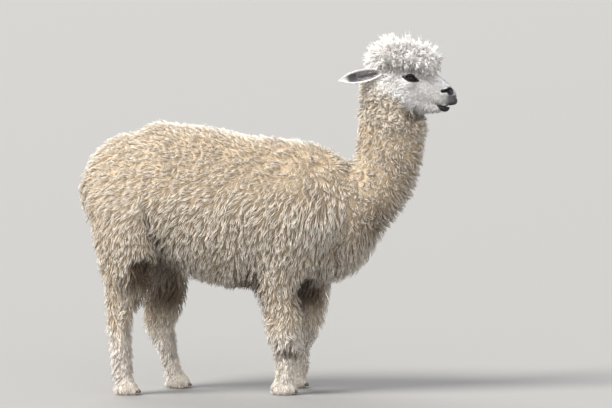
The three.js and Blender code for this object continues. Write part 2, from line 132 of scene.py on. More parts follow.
# Depth of the coat along a limb: [share of the way, on the rise side, on the drop side, on the flanks]
TRUNK_COAT = [[0, 0.022, 0.022, 0.022], [0.5, 0.025, 0.032, 0.028], [1, 0.028, 0.036, 0.032]]
NECK_COAT = [[0, 0.030, 0.034, 0.030], [0.5, 0.024, 0.030, 0.025], [1, 0.018, 0.018, 0.017]]
SKULL_COAT = [
    [0, 0.014, 0.014, 0.014],
    [0.3, 0.006, 0.008, 0.007],
    [0.6, 0.003, 0.004, 0.004],
    [1, 0.002, 0.002, 0.002],
]
JAW_COAT = [[0, 0.007, 0.010, 0.008], [0.5, 0.004, 0.005, 0.004], [1, 0.002, 0.003, 0.002]]
TAIL_COAT = [[0, 0.018, 0.018, 0.018], [1, 0.016, 0.016, 0.020]]
HIND_COAT = [
    [0, 0.025, 0.025, 0.025],
    [0.35, 0.022, 0.024, 0.022],
    [0.50, 0.018, 0.030, 0.017],
    [0.70, 0.008, 0.046, 0.014],
    [0.90, 0.006, 0.034, 0.010],
    [1, 0.005, 0.026, 0.007],
]
FORE_COAT = [
    [0, 0.030, 0.028, 0.028],
    [0.35, 0.025, 0.025, 0.024],
    [0.55, 0.021, 0.023, 0.020],
    [0.75, 0.010, 0.014, 0.011],
    [0.90, 0.006, 0.008, 0.007],
    [1, 0.005, 0.006, 0.006],
]
TOPKNOT_COAT = 0.022
FOOT_COAT = 0.004
FOOT_TOP = 0.13  # the feet are worked out only below this height
FOOT_REACH = 0.10  # and only this near a leg

EYE = {"at": np.array([0.556, 0.042, 1.208]), "radius": 0.022}
# The opening between the lids is an almond: half its length, and its height above and below the corners
LID = {"thick": 0.0026, "half": 0.0215, "upper": 0.0125, "lower": 0.0090, "blend": 0.010}
EAR = {
    "base": np.array([0.446, 0.058, 1.234]),
    "length": 0.168,
    "out": math.radians(17),  # outwards from straight back
    "down": math.radians(11),  # from level, tip low
    "roll": math.radians(12),  # that the cup opens upwards
}
# Along the ear: [share of the length, half width, depth of the cup]
EAR_OUTLINE = np.array(
    [[0, 14, 8], [0.1, 19, 13], [0.28, 26, 16], [0.5, 28, 15], [0.7, 24, 11], [0.87, 14, 5], [1, 3, 1]]
) * [1, 0.001, 0.001]

# ---------------------------------------------------------------- small sums


def unit(v):
    return v / np.maximum(np.linalg.norm(v, axis=-1, keepdims=True), 1e-9)


def dot(a, b):
    return (a * b).sum(axis=-1)


def ease(low, high, x):
    """0 at low and 1 at high, with a smooth way between."""
    t = np.clip((x - low) / (high - low), 0, 1)
    return t * t * (3 - 2 * t)


def smooth_min(a, b, k):
    """The lesser of two fields, with a fillet about as wide as k where they meet."""
    h = np.maximum(k - np.abs(a - b), 0) / k
    return np.minimum(a, b) - h * h * k / 4


def waves(points, size, seed):
    """Smooth noise, mostly from -1 to 1, with hills about half of size across."""
    draw = np.random.default_rng(seed)
    count = 7  # waves
    total = np.zeros(len(points))
    for _ in range(count):
        way = unit(draw.normal(size=3)) * draw.uniform(0.6, 1.5) * 2 * math.pi / size
        total += np.sin(points @ way + draw.uniform(0, 2 * math.pi))
    return total / math.sqrt(count) / 1.1


def wave_ways(points, size, seed):
    """Three such noises as the columns of ways."""
    return np.column_stack([waves(points, size, seed + n) for n in range(3)])


# ---------------------------------------------------------------- fields
# A field is below zero inside a shape. Every one has two rows: 0 for the coat's tips, 1 for the skin.


def spline(rows):
    """Rows along a Catmull-Rom curve through the given rows."""
    rows = np.asarray(rows, float)
    ends = np.vstack([2 * rows[0] - rows[1], rows, 2 * rows[-1] - rows[-2]])
    made = []
    for a, b, c, d in zip(ends, ends[1:], ends[2:], ends[3:]):
        square = 2 * a - 5 * b + 4 * c - d
        cube = 3 * b - a - 3 * c + d
        for t in np.arange(SPAN_STEPS) / SPAN_STEPS:
            made.append(0.5 * (2 * b + (c - a) * t + square * t**2 + cube * t**3))
    return np.array(made + [rows[-1]])


class Limb:
    """Oval rings along a curve in a plane at a constant y, with a coat whose depth changes on the way."""

    def __init__(self, rings, coat, y=0.0):
        rows = spline(rings)
        share = np.linspace(0, 1, len(rows))
        coat = np.array(coat)
        depth = np.column_stack([np.interp(share, coat[:, 0], coat[:, n]) for n in (1, 2, 3)])
        way = unit(np.gradient(rows[:, :2], axis=0))
        sizes = rows[:, 2:5]
        flesh = np.maximum(sizes - depth, sizes * LEAST_FLESH)
        self.rows = np.column_stack([rows[:, :2], way, sizes, flesh])
        self.y = y
        reach = sizes.max() + LIMB_MARGIN
        self.low = np.array([rows[:, 0].min() - reach, y - reach, rows[:, 1].min() - reach])
        self.high = np.array([rows[:, 0].max() + reach, y + reach, rows[:, 1].max() + reach])

    def measure(self, points):
        """Both fields, the share of the way along, and the angle round the limb."""
        flat = points[:, ::2]
        best = np.full(len(points), np.inf)
        step = np.zeros(len(points))
        for i, (a, run) in enumerate(zip(self.rows[:, :2], np.diff(self.rows[:, :2], axis=0))):
            off = flat - a
            share = np.clip(off @ run / (run @ run), 0, 1)
            gap = ((off - share[:, None] * run) ** 2).sum(axis=1)
            closer = gap < best
            best[closer] = gap[closer]
            step[closer] = i + share[closer]
        low = np.minimum(step.astype(int), len(self.rows) - 2)
        mix = (step - low)[:, None]
        row = self.rows[low] * (1 - mix) + self.rows[low + 1] * mix
        off = flat - row[:, :2]
        way = unit(row[:, 2:4])
        beyond = dot(off, way)
        deep = off[:, 1] * way[:, 0] - off[:, 0] * way[:, 1]
        across = points[:, 1] - self.y
        fields = []
        for sizes in (row[:, 4:7], row[:, 7:10]):
            depth = np.where(deep > 0, sizes[:, 0], sizes[:, 1])
            least = np.minimum(depth, sizes[:, 2])
            shape = np.sqrt((across / sizes[:, 2]) ** 2 + (deep / depth) ** 2 + (beyond / least) ** 2)
            fields.append((shape - 1) * least)
        return np.array(fields), step / (len(self.rows) - 1), np.arctan2(across, deep)

    def __call__(self, points):
        near = np.flatnonzero(((points > self.low) & (points < self.high)).all(axis=1))
        made = np.full((2, len(points)), FAR)
        if len(near):
            made[:, near] = self.measure(points[near])[0]
        return made


def oval(points, middle, radii, coat):
    """Both fields of an ellipsoid."""
    fields = []
    for size in (np.array(radii), np.array(radii) - coat):
        fields.append((np.linalg.norm((points - middle) / size, axis=1) - 1) * size.min())
    return np.array(fields)


def turn(points, angle):
    """Points or ways turned about the upright line."""
    c, s = math.cos(angle), math.sin(angle)
    return points @ np.array([[c, s, 0], [-s, c, 0], [0, 0, 1]])


def to_head(points):
    return turn(points - POLL, -HEAD_TURN) + POLL


def from_head(points):
    return turn(points - POLL, HEAD_TURN) + POLL


trunk = Limb(TRUNK, TRUNK_COAT)
neck = Limb(NECK, NECK_COAT)
tail = Limb(TAIL, TAIL_COAT)
skull = Limb(SKULL, SKULL_COAT)
jaw = Limb(JAW, JAW_COAT)
legs = {}
for side_name, sign in SIDES.items():
    legs[f"hind_{side_name}"] = Limb(HIND[side_name], HIND_COAT, sign * LEG_SPREAD)
    legs[f"fore_{side_name}"] = Limb(FORE[side_name], FORE_COAT, sign * LEG_SPREAD)


def foot(points, x, y):
    """Two toes and the pad behind them, under a leg that ends at x and y."""
    pads = np.full((2, len(points)), FAR)
    for ahead, aside, z, long, wide, high in FOOT:
        pad = oval(points, [x + ahead, y + aside, z], [long, wide, high], FOOT_COAT)
        pads = smooth_min(pads, pad, PAD_BLEND)
    return pads


def leg_field(points, name):
    """Both fields of a leg with its foot."""
    pair, side = name.split("_")
    leg = legs[name]
    made = leg(points)
    low = np.flatnonzero((points[:, 2] < FOOT_TOP) & (made[0] < FOOT_REACH))
    if len(low):
        pads = foot(points[low], LEGS[pair][side][-1, 0], leg.y)
        made[:, low] = smooth_min(made[:, low], pads, ANKLE_BLEND)
    return made


# The fold where the flank's fleece hangs over the thigh, as [x, z]
CREASE = millimetres(
    [-440, 870], [-464, 810], [-468, 740], [-457, 660], [-432, 585], [-394, 520], [-342, 472], [-300, 440]
)
CREASE_WIDE = 0.011
GROIN = [(-0.472, 0.484), 0.036, 0.040]  # the hollow below the fold: place, radius, depth


def fold_in(points):
    """How deep the crease and the groin are cut, in the coat's tips and in the skin."""
    beside = ease(0.07, 0.13, np.abs(points[:, 1]))
    deep = 0.012 + 0.016 * ease(0.75, 0.52, points[:, 2])
    middle, radius, depth = GROIN
    off = (points[:, 0] - middle[0]) ** 2 + (points[:, 2] - middle[1]) ** 2
    hollow = np.exp(-((off / radius**2) ** 2))
    tips = deep * 0.6 * groove(points, CREASE, CREASE_WIDE * 1.4) + depth * 0.8 * hollow
    skin = deep * groove(points, CREASE, CREASE_WIDE) + depth * hollow
    return np.array([tips, skin]) * beside


def body(points):
    """Both fields of the trunk, the neck, the tail and the legs."""
    torso = smooth_min(trunk(points), neck(points), NECK_BLEND)
    made = smooth_min(torso, tail(points), TAIL_BLEND)
    for name in legs:
        made = np.minimum(made, smooth_min(torso, leg_field(points, name), LEG_BLEND))
    near = np.flatnonzero((points[:, 0] < -0.20) & (points[:, 2] > 0.36) & (np.abs(points[:, 1]) > 0.07))
    if len(near):
        made[:, near] += fold_in(points[near])
    made[1] = np.maximum(made[1], -points[:, 2])
    return made


def crown(points):
    """The crown's wool. Points are in the head's frame, as for the face."""
    made = np.full((2, len(points)), FAR)
    near = np.flatnonzero((points[:, 2] > 1.10) & (points[:, 0] > 0.30))
    if len(near):
        part = made[:, near]
        for x, z, long, high, wide in TOPKNOT:
            tuft = oval(points[near], [x, 0, z], [long, wide, high], TOPKNOT_COAT)
            part = smooth_min(part, tuft, CROWN_BLEND)
        made[:, near] = part
    return made


EYE_AXIS = unit(np.array([0.24, 0.96, 0.10]))  # out of the left eye
EYE_LONG = unit(np.cross(np.cross(EYE_AXIS, [0.97, 0, -0.22]), EYE_AXIS))  # towards the tear duct
EYE_UP = np.cross(EYE_LONG, EYE_AXIS)
EYE_AXES = np.array([EYE_LONG, EYE_UP, EYE_AXIS])


def to_left(points):
    """Points with those of the right side mirrored to the left."""
    return np.column_stack([points[:, 0], np.abs(points[:, 1]), points[:, 2]])


def eye_place(points):
    """Points in the head's frame as [along the eye, up, out, reach], for the eye on their own side."""
    off = to_left(points) - EYE["at"]
    return off @ EYE_LONG, off @ EYE_UP, off @ EYE_AXIS, np.linalg.norm(off, axis=1)


def eye_gap(along, up):
    """How far outside the almond between the lids, below zero inside it."""
    arch = 1 - (along / LID["half"]) ** 2
    return np.maximum(up - LID["upper"] * arch, -up - LID["lower"] * arch)


def groove(points, path, width):
    """1 along a path of [x, z] and falling to 0 about twice the width away from it."""
    flat = points[:, ::2]
    path = np.array(path)
    best = np.full(len(points), np.inf)
    for a, b in zip(path[:-1], path[1:]):
        run = b - a
        share = np.clip((flat - a) @ run / (run @ run), 0, 1)
        best = np.minimum(best, ((flat - a - share[:, None] * run) ** 2).sum(axis=1))
    return np.exp(-best / width**2)


NOSTRIL = [[0.6785, 1.162], [0.692, 1.1635], [0.706, 1.164]]
NOSTRIL_END = [[0.7030, 1.1645], [0.7080, 1.1580]]
MOUTH = millimetres(
    [637.6, 1125.5], [650.7, 1119], [667, 1106], [683.6, 1100.6], [700, 1103.3], [710.5, 1106.1],
    [745, 1106.1],
)
TEAR = [[0.594, 1.2125], [0.612, 1.2123], [0.6244, 1.1993], [0.6388, 1.1874]]
POUCH = [[0.527, 1.183], [0.550, 1.172], [0.580, 1.170]]
LOWER_LIP = {"at": [0.6805, 0, 1.0945], "radii": [0.0200, 0.0215, 0.0115]}
UPPER_LIP = {"at": [0.7115, 0.0100, 1.1215], "radii": [0.0175, 0.0155, 0.0145]}
NOSE_FRONT = [0.7190, 1.1742]  # the two flats of the nose meet here
NOSE_FLATS = [[0.969, 0.248], [0.655, 0.755]]
LIP_BLEND = 0.008


def carved(points, skin):
    """The face's skin with its lids, nostrils, mouth and folds."""
    along, up, out, reach = eye_place(points)
    gap = eye_gap(along, up)
    for flat in NOSE_FLATS:
        beyond = (points[:, ::2] - NOSE_FRONT) @ flat + 0.001
        skin = -smooth_min(-skin, -beyond, LIP_BLEND)
    for lip in (LOWER_LIP, UPPER_LIP):
        skin = smooth_min(skin, oval(to_left(points), lip["at"], lip["radii"], 0.0)[1], LIP_BLEND)
    shell = reach - EYE["radius"] - LID["thick"]
    near_eye = np.exp(-((reach / 0.045) ** 4))
    skin = smooth_min(skin, shell, LID["blend"])
    fold = np.exp(-(((gap - 0.0065) / 0.0018) ** 2)) * (out > 0) * near_eye
    skin = skin + 0.0016 * fold * (0.4 + 0.6 * (up > 0))
    hole = np.maximum(np.maximum(gap, EYE["radius"] - 0.0012 - reach), -out)
    skin = np.maximum(skin, -hole)
    beside = np.abs(points[:, 1])
    nostril = np.maximum(groove(points, NOSTRIL, 0.0034), groove(points, NOSTRIL_END, 0.0062))
    nostril = nostril * ease(0.006, 0.012, beside)
    rim = groove(points, NOSTRIL, 0.0110) * ease(0.006, 0.014, beside)
    skin = skin - 0.0009 * rim + 0.0150 * nostril
    skin = skin + 0.0050 * groove(points, MOUTH, 0.0017)
    cleft = np.exp(-((points[:, 1] / 0.0020) ** 2)) * ease(0.700, 0.715, points[:, 0])
    skin = skin + 0.0035 * cleft * ease(1.105, 1.115, points[:, 2]) * ease(1.165, 1.145, points[:, 2])
    skin = skin + 0.0024 * groove(points, TEAR, 0.0026) * ease(0.01, 0.02, beside)
    return skin + 0.0020 * groove(points, POUCH, 0.0028) * ease(0.02, 0.03, beside)


def head(points):
    """Both fields of the head with the top of the neck."""
    own = to_head(points)
    face = smooth_min(skull(own), jaw(own), JAW_BLEND)
    near = np.flatnonzero((face[1] < 0.03) & (own[:, 0] > 0.50))
    if len(near):
        face[1, near] = carved(own[near], face[1, near])
    made = smooth_min(neck(points), face, HEAD_BLEND)
    cap = crown(own)
    return np.array([np.minimum(made[0], cap[0]), smooth_min(made[1], cap[1], CAP_BLEND)])


def animal(points):
    """Both fields of the whole animal but its ears."""
    made = np.full((2, len(points)), FAR)
    high = (points[:, 0] > 0.28) & (points[:, 2] > 0.93)
    made[:, high] = head(points[high])
    return np.minimum(made, body(points))


def slope(field, points, step=0.001):
    """The way that a field grows fastest, and how fast."""
    columns = []
    for axis in range(3):
        nudge = np.zeros(3)
        nudge[axis] = step
        columns.append((field(points + nudge) - field(points - nudge)) / (2 * step))
    return np.column_stack(columns)


# ---------------------------------------------------------------- meshing


def lines(*stretches):
    """Grid lines from stretches of [from, to, spacing]."""
    made = []
    for start, end, spacing in stretches:
        made.append(np.linspace(start, end, max(2, round((end - start) / spacing) + 1))[:-1])
    return np.append(np.concatenate(made), stretches[-1][1])


SETTLE_STEPS = 2  # that move a net's corners onto the surface
SETTLE_SHARE = 0.8  # of the way, in each of them
LEAST_SLOPE = 0.25  # squared, that a step counts on


def net(field, xs, ys, zs):
    """The surface where a field is zero, as corners and quads: one corner in each cell that it crosses."""
    grid = np.stack(np.meshgrid(xs, ys, zs, indexing="ij"), axis=-1).reshape(-1, 3)
    values = np.concatenate([field(part) for part in np.array_split(grid, 24)])
    values = values.reshape(len(xs), len(ys), len(zs))
    corners = [(a, b, c) for a in (0, 1) for b in (0, 1) for c in (0, 1)]

    def corner(array, offset):
        return array[tuple(slice(o, n - 1 + o) for o, n in zip(offset, array.shape))]

    inside = values < 0
    count = sum(corner(inside, c).astype(np.int8) for c in corners)
    crossed = (count > 0) & (count < 8)
    number = np.full(crossed.shape, -1)
    number[crossed] = np.arange(crossed.sum())
    cells = np.argwhere(crossed)
    total = np.zeros((len(cells), 3))
    hits = np.zeros(len(cells))
    for a in corners:
        for axis in range(3):
            if a[axis]:
                continue
            b = tuple(1 if n == axis else a[n] for n in range(3))
            va, vb = corner(values, a)[crossed], corner(values, b)[crossed]
            cut = (va < 0) != (vb < 0)
            t = np.where(cut, va / np.where(cut, va - vb, 1), 0)
            place = np.empty((len(cells), 3))
            for n, line in enumerate((xs, ys, zs)):
                start = line[cells[:, n] + a[n]]
                place[:, n] = start + t * (line[cells[:, n] + b[n]] - start)
            total += place * cut[:, None]
            hits += cut
    points = total / hits[:, None]
    for _ in range(SETTLE_STEPS):
        value = field(points)
        grow = slope(field, points)
        points = points - grow * (value / np.maximum(dot(grow, grow), LEAST_SLOPE) * SETTLE_SHARE)[:, None]

    quads = []
    for axis in range(3):
        u, v = (axis + 1) % 3, (axis + 2) % 3
        low = [slice(1, -1)] * 3
        high = [slice(1, -1)] * 3
        low[axis] = slice(0, -1)
        high[axis] = slice(1, None)
        here, there = inside[tuple(low)], inside[tuple(high)]
        at = np.argwhere(here != there)
        at[:, [u, v]] += 1
        leaves = here[here != there]
        around = []
        for du, dv in ((1, 1), (0, 1), (0, 0), (1, 0)):
            cell = at.copy()
            cell[:, u] -= du
            cell[:, v] -= dv
            around.append(number[tuple(cell.T)])
        ring = np.column_stack(around)
        ring[~leaves] = ring[~leaves][:, ::-1]
        quads.append(ring)
    quads = np.vstack(quads)
    return points, quads[(quads >= 0).all(axis=1)]


def corner_normals(points, quads):
    """The surface's way out at each corner."""
    a, b, c, d = (points[quads[:, n]] for n in range(4))
    normal = np.cross(c - a, d - b)
    total = np.zeros_like(points)
    for n in range(4):
        np.add.at(total, quads[:, n], normal)
    return unit(total)


def new_mesh(name, points, corners, starts):
    """A mesh object from flat arrays: every face's corners in turn, and where each face starts."""
    mesh = bpy.data.meshes.new(name)
    mesh.vertices.add(len(points))
    mesh.vertices.foreach_set("co", np.ascontiguousarray(points, np.float32).ravel())
    corners = np.ascontiguousarray(corners, np.int32).ravel()
    mesh.loops.add(len(corners))
    mesh.loops.foreach_set("vertex_index", corners)
    mesh.polygons.add(len(starts))
    mesh.polygons.foreach_set("loop_start", np.ascontiguousarray(starts, np.int32))
    mesh.update(calc_edges=True)
    mesh.polygons.foreach_set("use_smooth", np.ones(len(starts), bool))
    made = bpy.data.objects.new(name, mesh)
    bpy.context.scene.collection.objects.link(made)
    return made


def store(obj, name, values, kind="FLOAT"):
    """Values for every corner of a mesh, under a name that its material reads."""
    field = {"FLOAT": "value", "FLOAT_VECTOR": "vector", "FLOAT_COLOR": "color"}[kind]
    made = obj.data.attributes.new(name, kind, "POINT")
    made.data.foreach_set(field, np.ascontiguousarray(values, np.float32).ravel())


# ---------------------------------------------------------------- markings, the same on skin and coat


def past_line(x, z, start, end, soft):
    """1 ahead of the line that runs from one [x, z] down to another, 0 behind it."""
    run = unit(np.array(end) - np.array(start))
    return ease(-soft, soft, (z - start[1]) * run[0] - (x - start[0]) * run[1])


def blot(points, middle, radius):
    """1 about a place and 0 away from it, reaching further across the body than along it."""
    return np.exp(-((np.linalg.norm((points - middle) * [1, 0.45, 1], axis=1) / radius) ** 4))


# Brown stains in the wool, and blots of painted shade and shadow: [middle, radius, strength]
STAINS_AND_SHADE = [
    # brown wool of the inner thighs, darkened further as painted shade in the groin's hollow and between
    # the hind legs
    [(-0.474, -0.15, 0.484), 0.054, 1.7],
    [(-0.52, -0.17, 0.445), 0.055, 0.5],
    [(-0.43, 0.03, 0.39), 0.125, 0.55],
    [(-0.4, -0.06, 0.5), 0.07, 0.6],
    # mud about the right fore knee
    [(0.085, -0.15, 0.172), 0.03, 0.9],
    [(0.03, -0.11, 0.165), 0.03, 0.5],
    # painted shadow between the forelegs
    [(0.142, -0.03, 0.4), 0.07, 1.1],
    # darker under the belly's near side
    [(-0.065, -0.08, 0.44), 0.05, 0.8],
    # painted shadow under the jaw
    [(0.56, -0.03, 1.068), 0.036, 0.8],
    # painted shade at the ear's base
    [(0.458, -0.08, 1.262), 0.017, 0.6],
    # painted shade on the front of the chest and neck, over tan wool
    [(0.33, -0.06, 0.58), 0.12, 0.2],
    [(0.4, 0.0, 0.68), 0.09, 0.3],
    [(0.5, 0.0, 0.86), 0.13, 0.16],
    [(0.42, 0.0, 0.85), 0.12, 0.1],
    # brown stains on the hind shins
    [(-0.56, 0.11, 0.2), 0.04, 0.4],
    [(-0.54, -0.075, 0.23), 0.03, 0.5],
]


def shank(points):
    """1 on the front of the hind legs below the hock, where the hair is short."""
    made = np.zeros(len(points))
    for side, rings in HIND.items():
        middle = np.interp(-points[:, 2], [-ring[1] for ring in rings], [ring[0] for ring in rings])
        here = points[:, 1] * SIDES[side] > 0
        ahead = ease(-0.006, 0.012, points[:, 0] - middle - 0.004)
        made = np.where(here & (points[:, 0] < -0.2), ahead * ease(0.31, 0.26, points[:, 2]), made)
    return made


def white_hair(points, own, limbs, crest):
    """1 on the short hair of the face and the crown's wool, less on the lower legs."""
    x, z = own[:, 0], own[:, 2]
    ragged = 0.006 * waves(points, 0.03, 17)
    short = past_line(x, z + ragged, [0.400, 1.250], [0.505, 1.060], 0.055)
    short = short * ease(0.022, -0.006, limbs[1] - neck(points)[1] - 0.004) * ease(0.05, 0.02, limbs[0])
    short = np.maximum(short * (1 - crest), crest * (0.88 + 0.20 * waves(points, 0.03, 5)))
    cannon = ease(0.30, 0.20, points[:, 2]) * 0.42
    return np.maximum(short, cannon * (0.8 + 0.2 * waves(points, 0.04, 6)))


def bare_skin_and_fold_shade(own, limbs):
    """1 on the dark skin of lids, nostrils, lips and chin, less along the face's folds: painted shade in
    the tear fold, and darker under the eye's pouch.
    """
    x, z = own[:, 0], own[:, 2]
    beside = np.abs(own[:, 1])
    along, up, out, reach = eye_place(own)
    wide = 1 - (along / 0.036) ** 2
    almond = np.maximum(up - 0.0205 * wide, -up - 0.0140 * wide) + 0.001 * waves(own, 0.010, 9)
    lids = ease(0.0015, -0.0015, almond) * (out > 0) * (reach < 0.045)
    nose = np.maximum(groove(own, NOSTRIL, 0.0080), groove(own, NOSTRIL_END, 0.0130))
    nose = ease(0.22, 0.50, nose) * ease(0.004, 0.010, beside)
    front = ease(0.664, 0.706, x) * ease(1.160, 1.142, z) * 0.95
    front = front * np.maximum(ease(0.004, 0.010, beside), ease(1.140, 1.128, z))
    mouth = np.interp(x, *MOUTH.T)
    chin = past_line(x, z, [0.6525, 1.108], [0.674, 1.079], 0.003) * ease(mouth + 0.002, mouth - 0.001, z)
    line = groove(own, MOUTH, 0.0042) * ease(0.630, 0.645, x)
    # painted shade along the tear fold, and a darker line under the eye's pouch
    fold = groove(own, TEAR, 0.0022) * 0.35 * (beside > 0.02)
    fold = fold + groove(own, POUCH, 0.0030) * 0.22 * (beside > 0.03)
    dark = np.clip(lids + nose + front * (1 - nose) + chin + line * 0.9 + fold, 0, 1)
    return dark * (x > 0.50) * (limbs[0] < 0.02)


def soiling_and_shading(points):
    """How brown and how shaded the wool is: painted shade in the crease, between the legs and under the
    belly; brown stains and painted shade at the blots.
    """
    x, z = points[:, 0], points[:, 2]
    beside = np.abs(points[:, 1])
    # painted shade in the crease, on the legs' inner faces and under the belly
    shade = groove(points, CREASE, 0.015) * ease(0.07, 0.11, beside) * ease(0.78, 0.55, z)
    inner = ease(0.09, 0.03, beside) * ease(0.50, 0.38, z)
    between = ease(-0.44, -0.37, x) * ease(0.00, -0.05, x)
    belly = ease(0.46, 0.38, z) * ease(0.28, 0.36, z) * np.maximum(between, 0.35)
    soil_and_shade = 0.45 * inner + 0.46 * belly + 0.08 * waves(points, 0.13, 11) + 0.85 * shade * (x < -0.2)
    ragged = points + 0.012 * wave_ways(points, 0.05, 41)
    for middle, radius, strength in STAINS_AND_SHADE:
        soil_and_shade = soil_and_shade + strength * blot(ragged, middle, radius)
    return np.clip(soil_and_shade, 0, 1)


def markings(points):
    """Columns from 0 to 1: brown and painted-shade wool, white hair, dark bare skin with painted shade in
    the face's folds, and how light the whole is.
    """
    own = to_head(points)
    limbs = np.minimum(skull(own), jaw(own))
    crest = ease(0.020, -0.004, crown(own)[1])
    short = np.clip(white_hair(points, own, limbs, crest), 0, 1)
    hock = 0.22 * shank(points) * ease(0.04, 0.16, points[:, 2]) * (1 + 0.8 * waves(points, 0.05, 14))
    dark = bare_skin_and_fold_shade(own, limbs) + np.clip(hock, 0, 1)
    tone = 1 - 0.20 * (1 - crest) * ease(0.05, 0.02, limbs[0]) * ease(0.46, 0.60, own[:, 0])
    return np.column_stack([soiling_and_shading(points), short, dark, tone])


# ---------------------------------------------------------------- materials


class Nodes:
    """Short calls that build a material's tree."""

    def __init__(self, name):
        self.material = bpy.data.materials.new(name)
        self.material.use_nodes = True
        self.tree = self.material.node_tree
        self.shader = self.tree.nodes["Principled BSDF"]

    def node(self, kind, inputs=(), **settings):
        made = self.tree.nodes.new(kind)
        for key, value in settings.items():
            setattr(made, key, value)
        for key, value in dict(inputs).items():
            self.put(made.inputs[key], value)
        return made

    def put(self, socket, value):
        if isinstance(value, bpy.types.NodeSocket):
            self.tree.links.new(value, socket)
        else:
            socket.default_value = value

    def mix(self, share, a, b, blend="MIX"):
        made = self.node("ShaderNodeMix", data_type="RGBA", blend_type=blend)
        for socket, value in ((made.inputs[0], share), (made.inputs[6], a), (made.inputs[7], b)):
            self.put(socket, value)
        return made.outputs[2]

    def sum(self, a, operation, b=0.0, c=0.0):
        made = self.node("ShaderNodeMath", operation=operation)
        for n, value in enumerate((a, b, c)):
            self.put(made.inputs[n], value)
        return made.outputs[0]

    def ramp(self, value, low, high):
        settings = {"Value": value, "From Min": low, "From Max": high}
        return self.node("ShaderNodeMapRange", settings).outputs[0]

    def noise(self, vector, scale, detail=3.0):
        settings = {"Vector": vector, "Scale": scale, "Detail": detail, "Roughness": 0.55}
        return self.node("ShaderNodeTexNoise", settings).outputs["Fac"]

    def stretch(self, vector, scale):
        return self.node("ShaderNodeMapping", {"Vector": vector, "Scale": scale}).outputs[0]

    def attribute(self, name):
        return self.node("ShaderNodeAttribute", attribute_name=name)

    def bump(self, height, strength, distance):
        settings = {"Height": height, "Strength": strength, "Distance": distance}
        return self.node("ShaderNodeBump", settings).outputs[0]

    def dim(self, colour, tone):
        grey = self.node("ShaderNodeCombineColor", {0: tone, 1: tone, 2: tone}).outputs[0]
        return self.mix(1.0, colour, grey, "MULTIPLY")

    def shade(self, **sockets):
        for key, value in sockets.items():
            self.put(self.shader.inputs[key.replace("_", " ")], value)


WOOL_TIP = (0.755, 0.70, 0.615, 1)
# wool at the locks' roots: warmer, and darker as painted shade between the locks
WOOL_ROOT = (0.45, 0.34, 0.215, 1)
WOOL_TAN = (0.52, 0.405, 0.275, 1)
# dark brown of dirty wool, also used for painted shade in creases, hollows and between the legs
WOOL_SOIL_AND_SHADE = (0.060, 0.032, 0.014, 1)
FACE_HAIR = (0.96, 0.95, 0.945, 1)
FACE_SHADE = (0.90, 0.875, 0.845, 1)
# also the colour that the painted shade in the face's folds leans to
DARK_SKIN = (0.018, 0.016, 0.017, 1)


def coat_colour(n, along, hair_along):
    """The coat's colour from its root's place and its marks, for the skin and for the locks alike."""
    root = n.attribute("root").outputs["Vector"]
    marks = n.attribute("marks")
    parts = n.node("ShaderNodeSeparateColor", {"Color": marks.outputs["Color"]})
    soil_and_shade, face, dark = parts.outputs
    # darker towards the roots: painted shade between the locks
    colour = n.mix(along, WOOL_ROOT, WOOL_TIP)
    patches = n.ramp(n.noise(root, 7.0, 4.0), 0.50, 0.72)
    colour = n.mix(n.sum(patches, "MULTIPLY", 0.30), colour, WOOL_TAN)
    flecks = n.ramp(n.noise(root, 42.0, 2.0), 0.66, 0.76)
    colour = n.mix(n.sum(flecks, "MULTIPLY", 0.45), colour, WOOL_TAN)
    grey = n.mix(n.ramp(n.noise(root, 60.0), 0.40, 0.8), FACE_HAIR, FACE_SHADE)
    colour = n.mix(face, colour, n.mix(hair_along, FACE_SHADE, grey))
    # brown stains and painted shade
    colour = n.mix(soil_and_shade, colour, WOOL_SOIL_AND_SHADE)
    return n.mix(dark, colour, DARK_SKIN), marks.outputs["Alpha"]


def wool_material(name, shine):
    n = Nodes(name)
    along = n.attribute("along").outputs["Fac"]
    rise = n.ramp(along, 0.1, 0.75)
    colour, tone = coat_colour(n, rise, rise)
    lock = n.attribute("lock").outputs["Vector"]
    fibres = n.noise(lock, 9.0, 2.0)
    colour = n.dim(colour, tone)
    colour = n.mix(n.ramp(fibres, 0.35, 0.75), colour, n.mix(0.25, colour, WOOL_ROOT))
    n.shade(Base_Color=colour, Roughness=0.85, Specular_IOR_Level=0.2, Normal=n.bump(fibres, 0.5, 0.0008))
    n.shade(Sheen_Weight=shine, Sheen_Roughness=0.5)
    return n.material


def skin_material():
    n = Nodes("skin")
    # the skin between the locks takes the roots' colour: painted shade where it shows through
    colour, tone = coat_colour(n, 0.12, 0.7)
    colour = n.dim(colour, tone)
    root = n.attribute("root").outputs["Vector"]
    hairs = n.noise(n.stretch(root, (260, 900, 700)), 1.0)
    pores = n.node("ShaderNodeTexVoronoi", {"Vector": root, "Scale": 620.0}).outputs["Distance"]
    height = n.sum(hairs, "ADD", n.sum(pores, "MULTIPLY", 0.5))
    bump = n.bump(height, 0.45, 0.0007)
    dark = n.node("ShaderNodeSeparateColor", {"Color": n.attribute("marks").outputs["Color"]}).outputs[2]
    rough = n.sum(dark, "MULTIPLY_ADD", -0.26, 0.86)
    n.shade(Base_Color=colour, Roughness=rough, Specular_IOR_Level=0.3, Normal=bump)
    return n.material


def eye_material():
    n = Nodes("eye")
    iris = n.attribute("iris").outputs["Fac"]
    streaks = n.noise(n.attribute("ray").outputs["Vector"], 6.0)
    brown = n.mix(streaks, (0.012, 0.006, 0.004, 1), (0.032, 0.016, 0.008, 1))
    colour = n.mix(n.ramp(iris, 0.35, 0.5), (0.002, 0.002, 0.002, 1), brown)
    colour = n.mix(n.ramp(iris, 1.0, 1.25), colour, (0.02, 0.015, 0.013, 1))
    n.shade(Base_Color=colour, Roughness=0.10, Specular_IOR_Level=0.25)
    return n.material


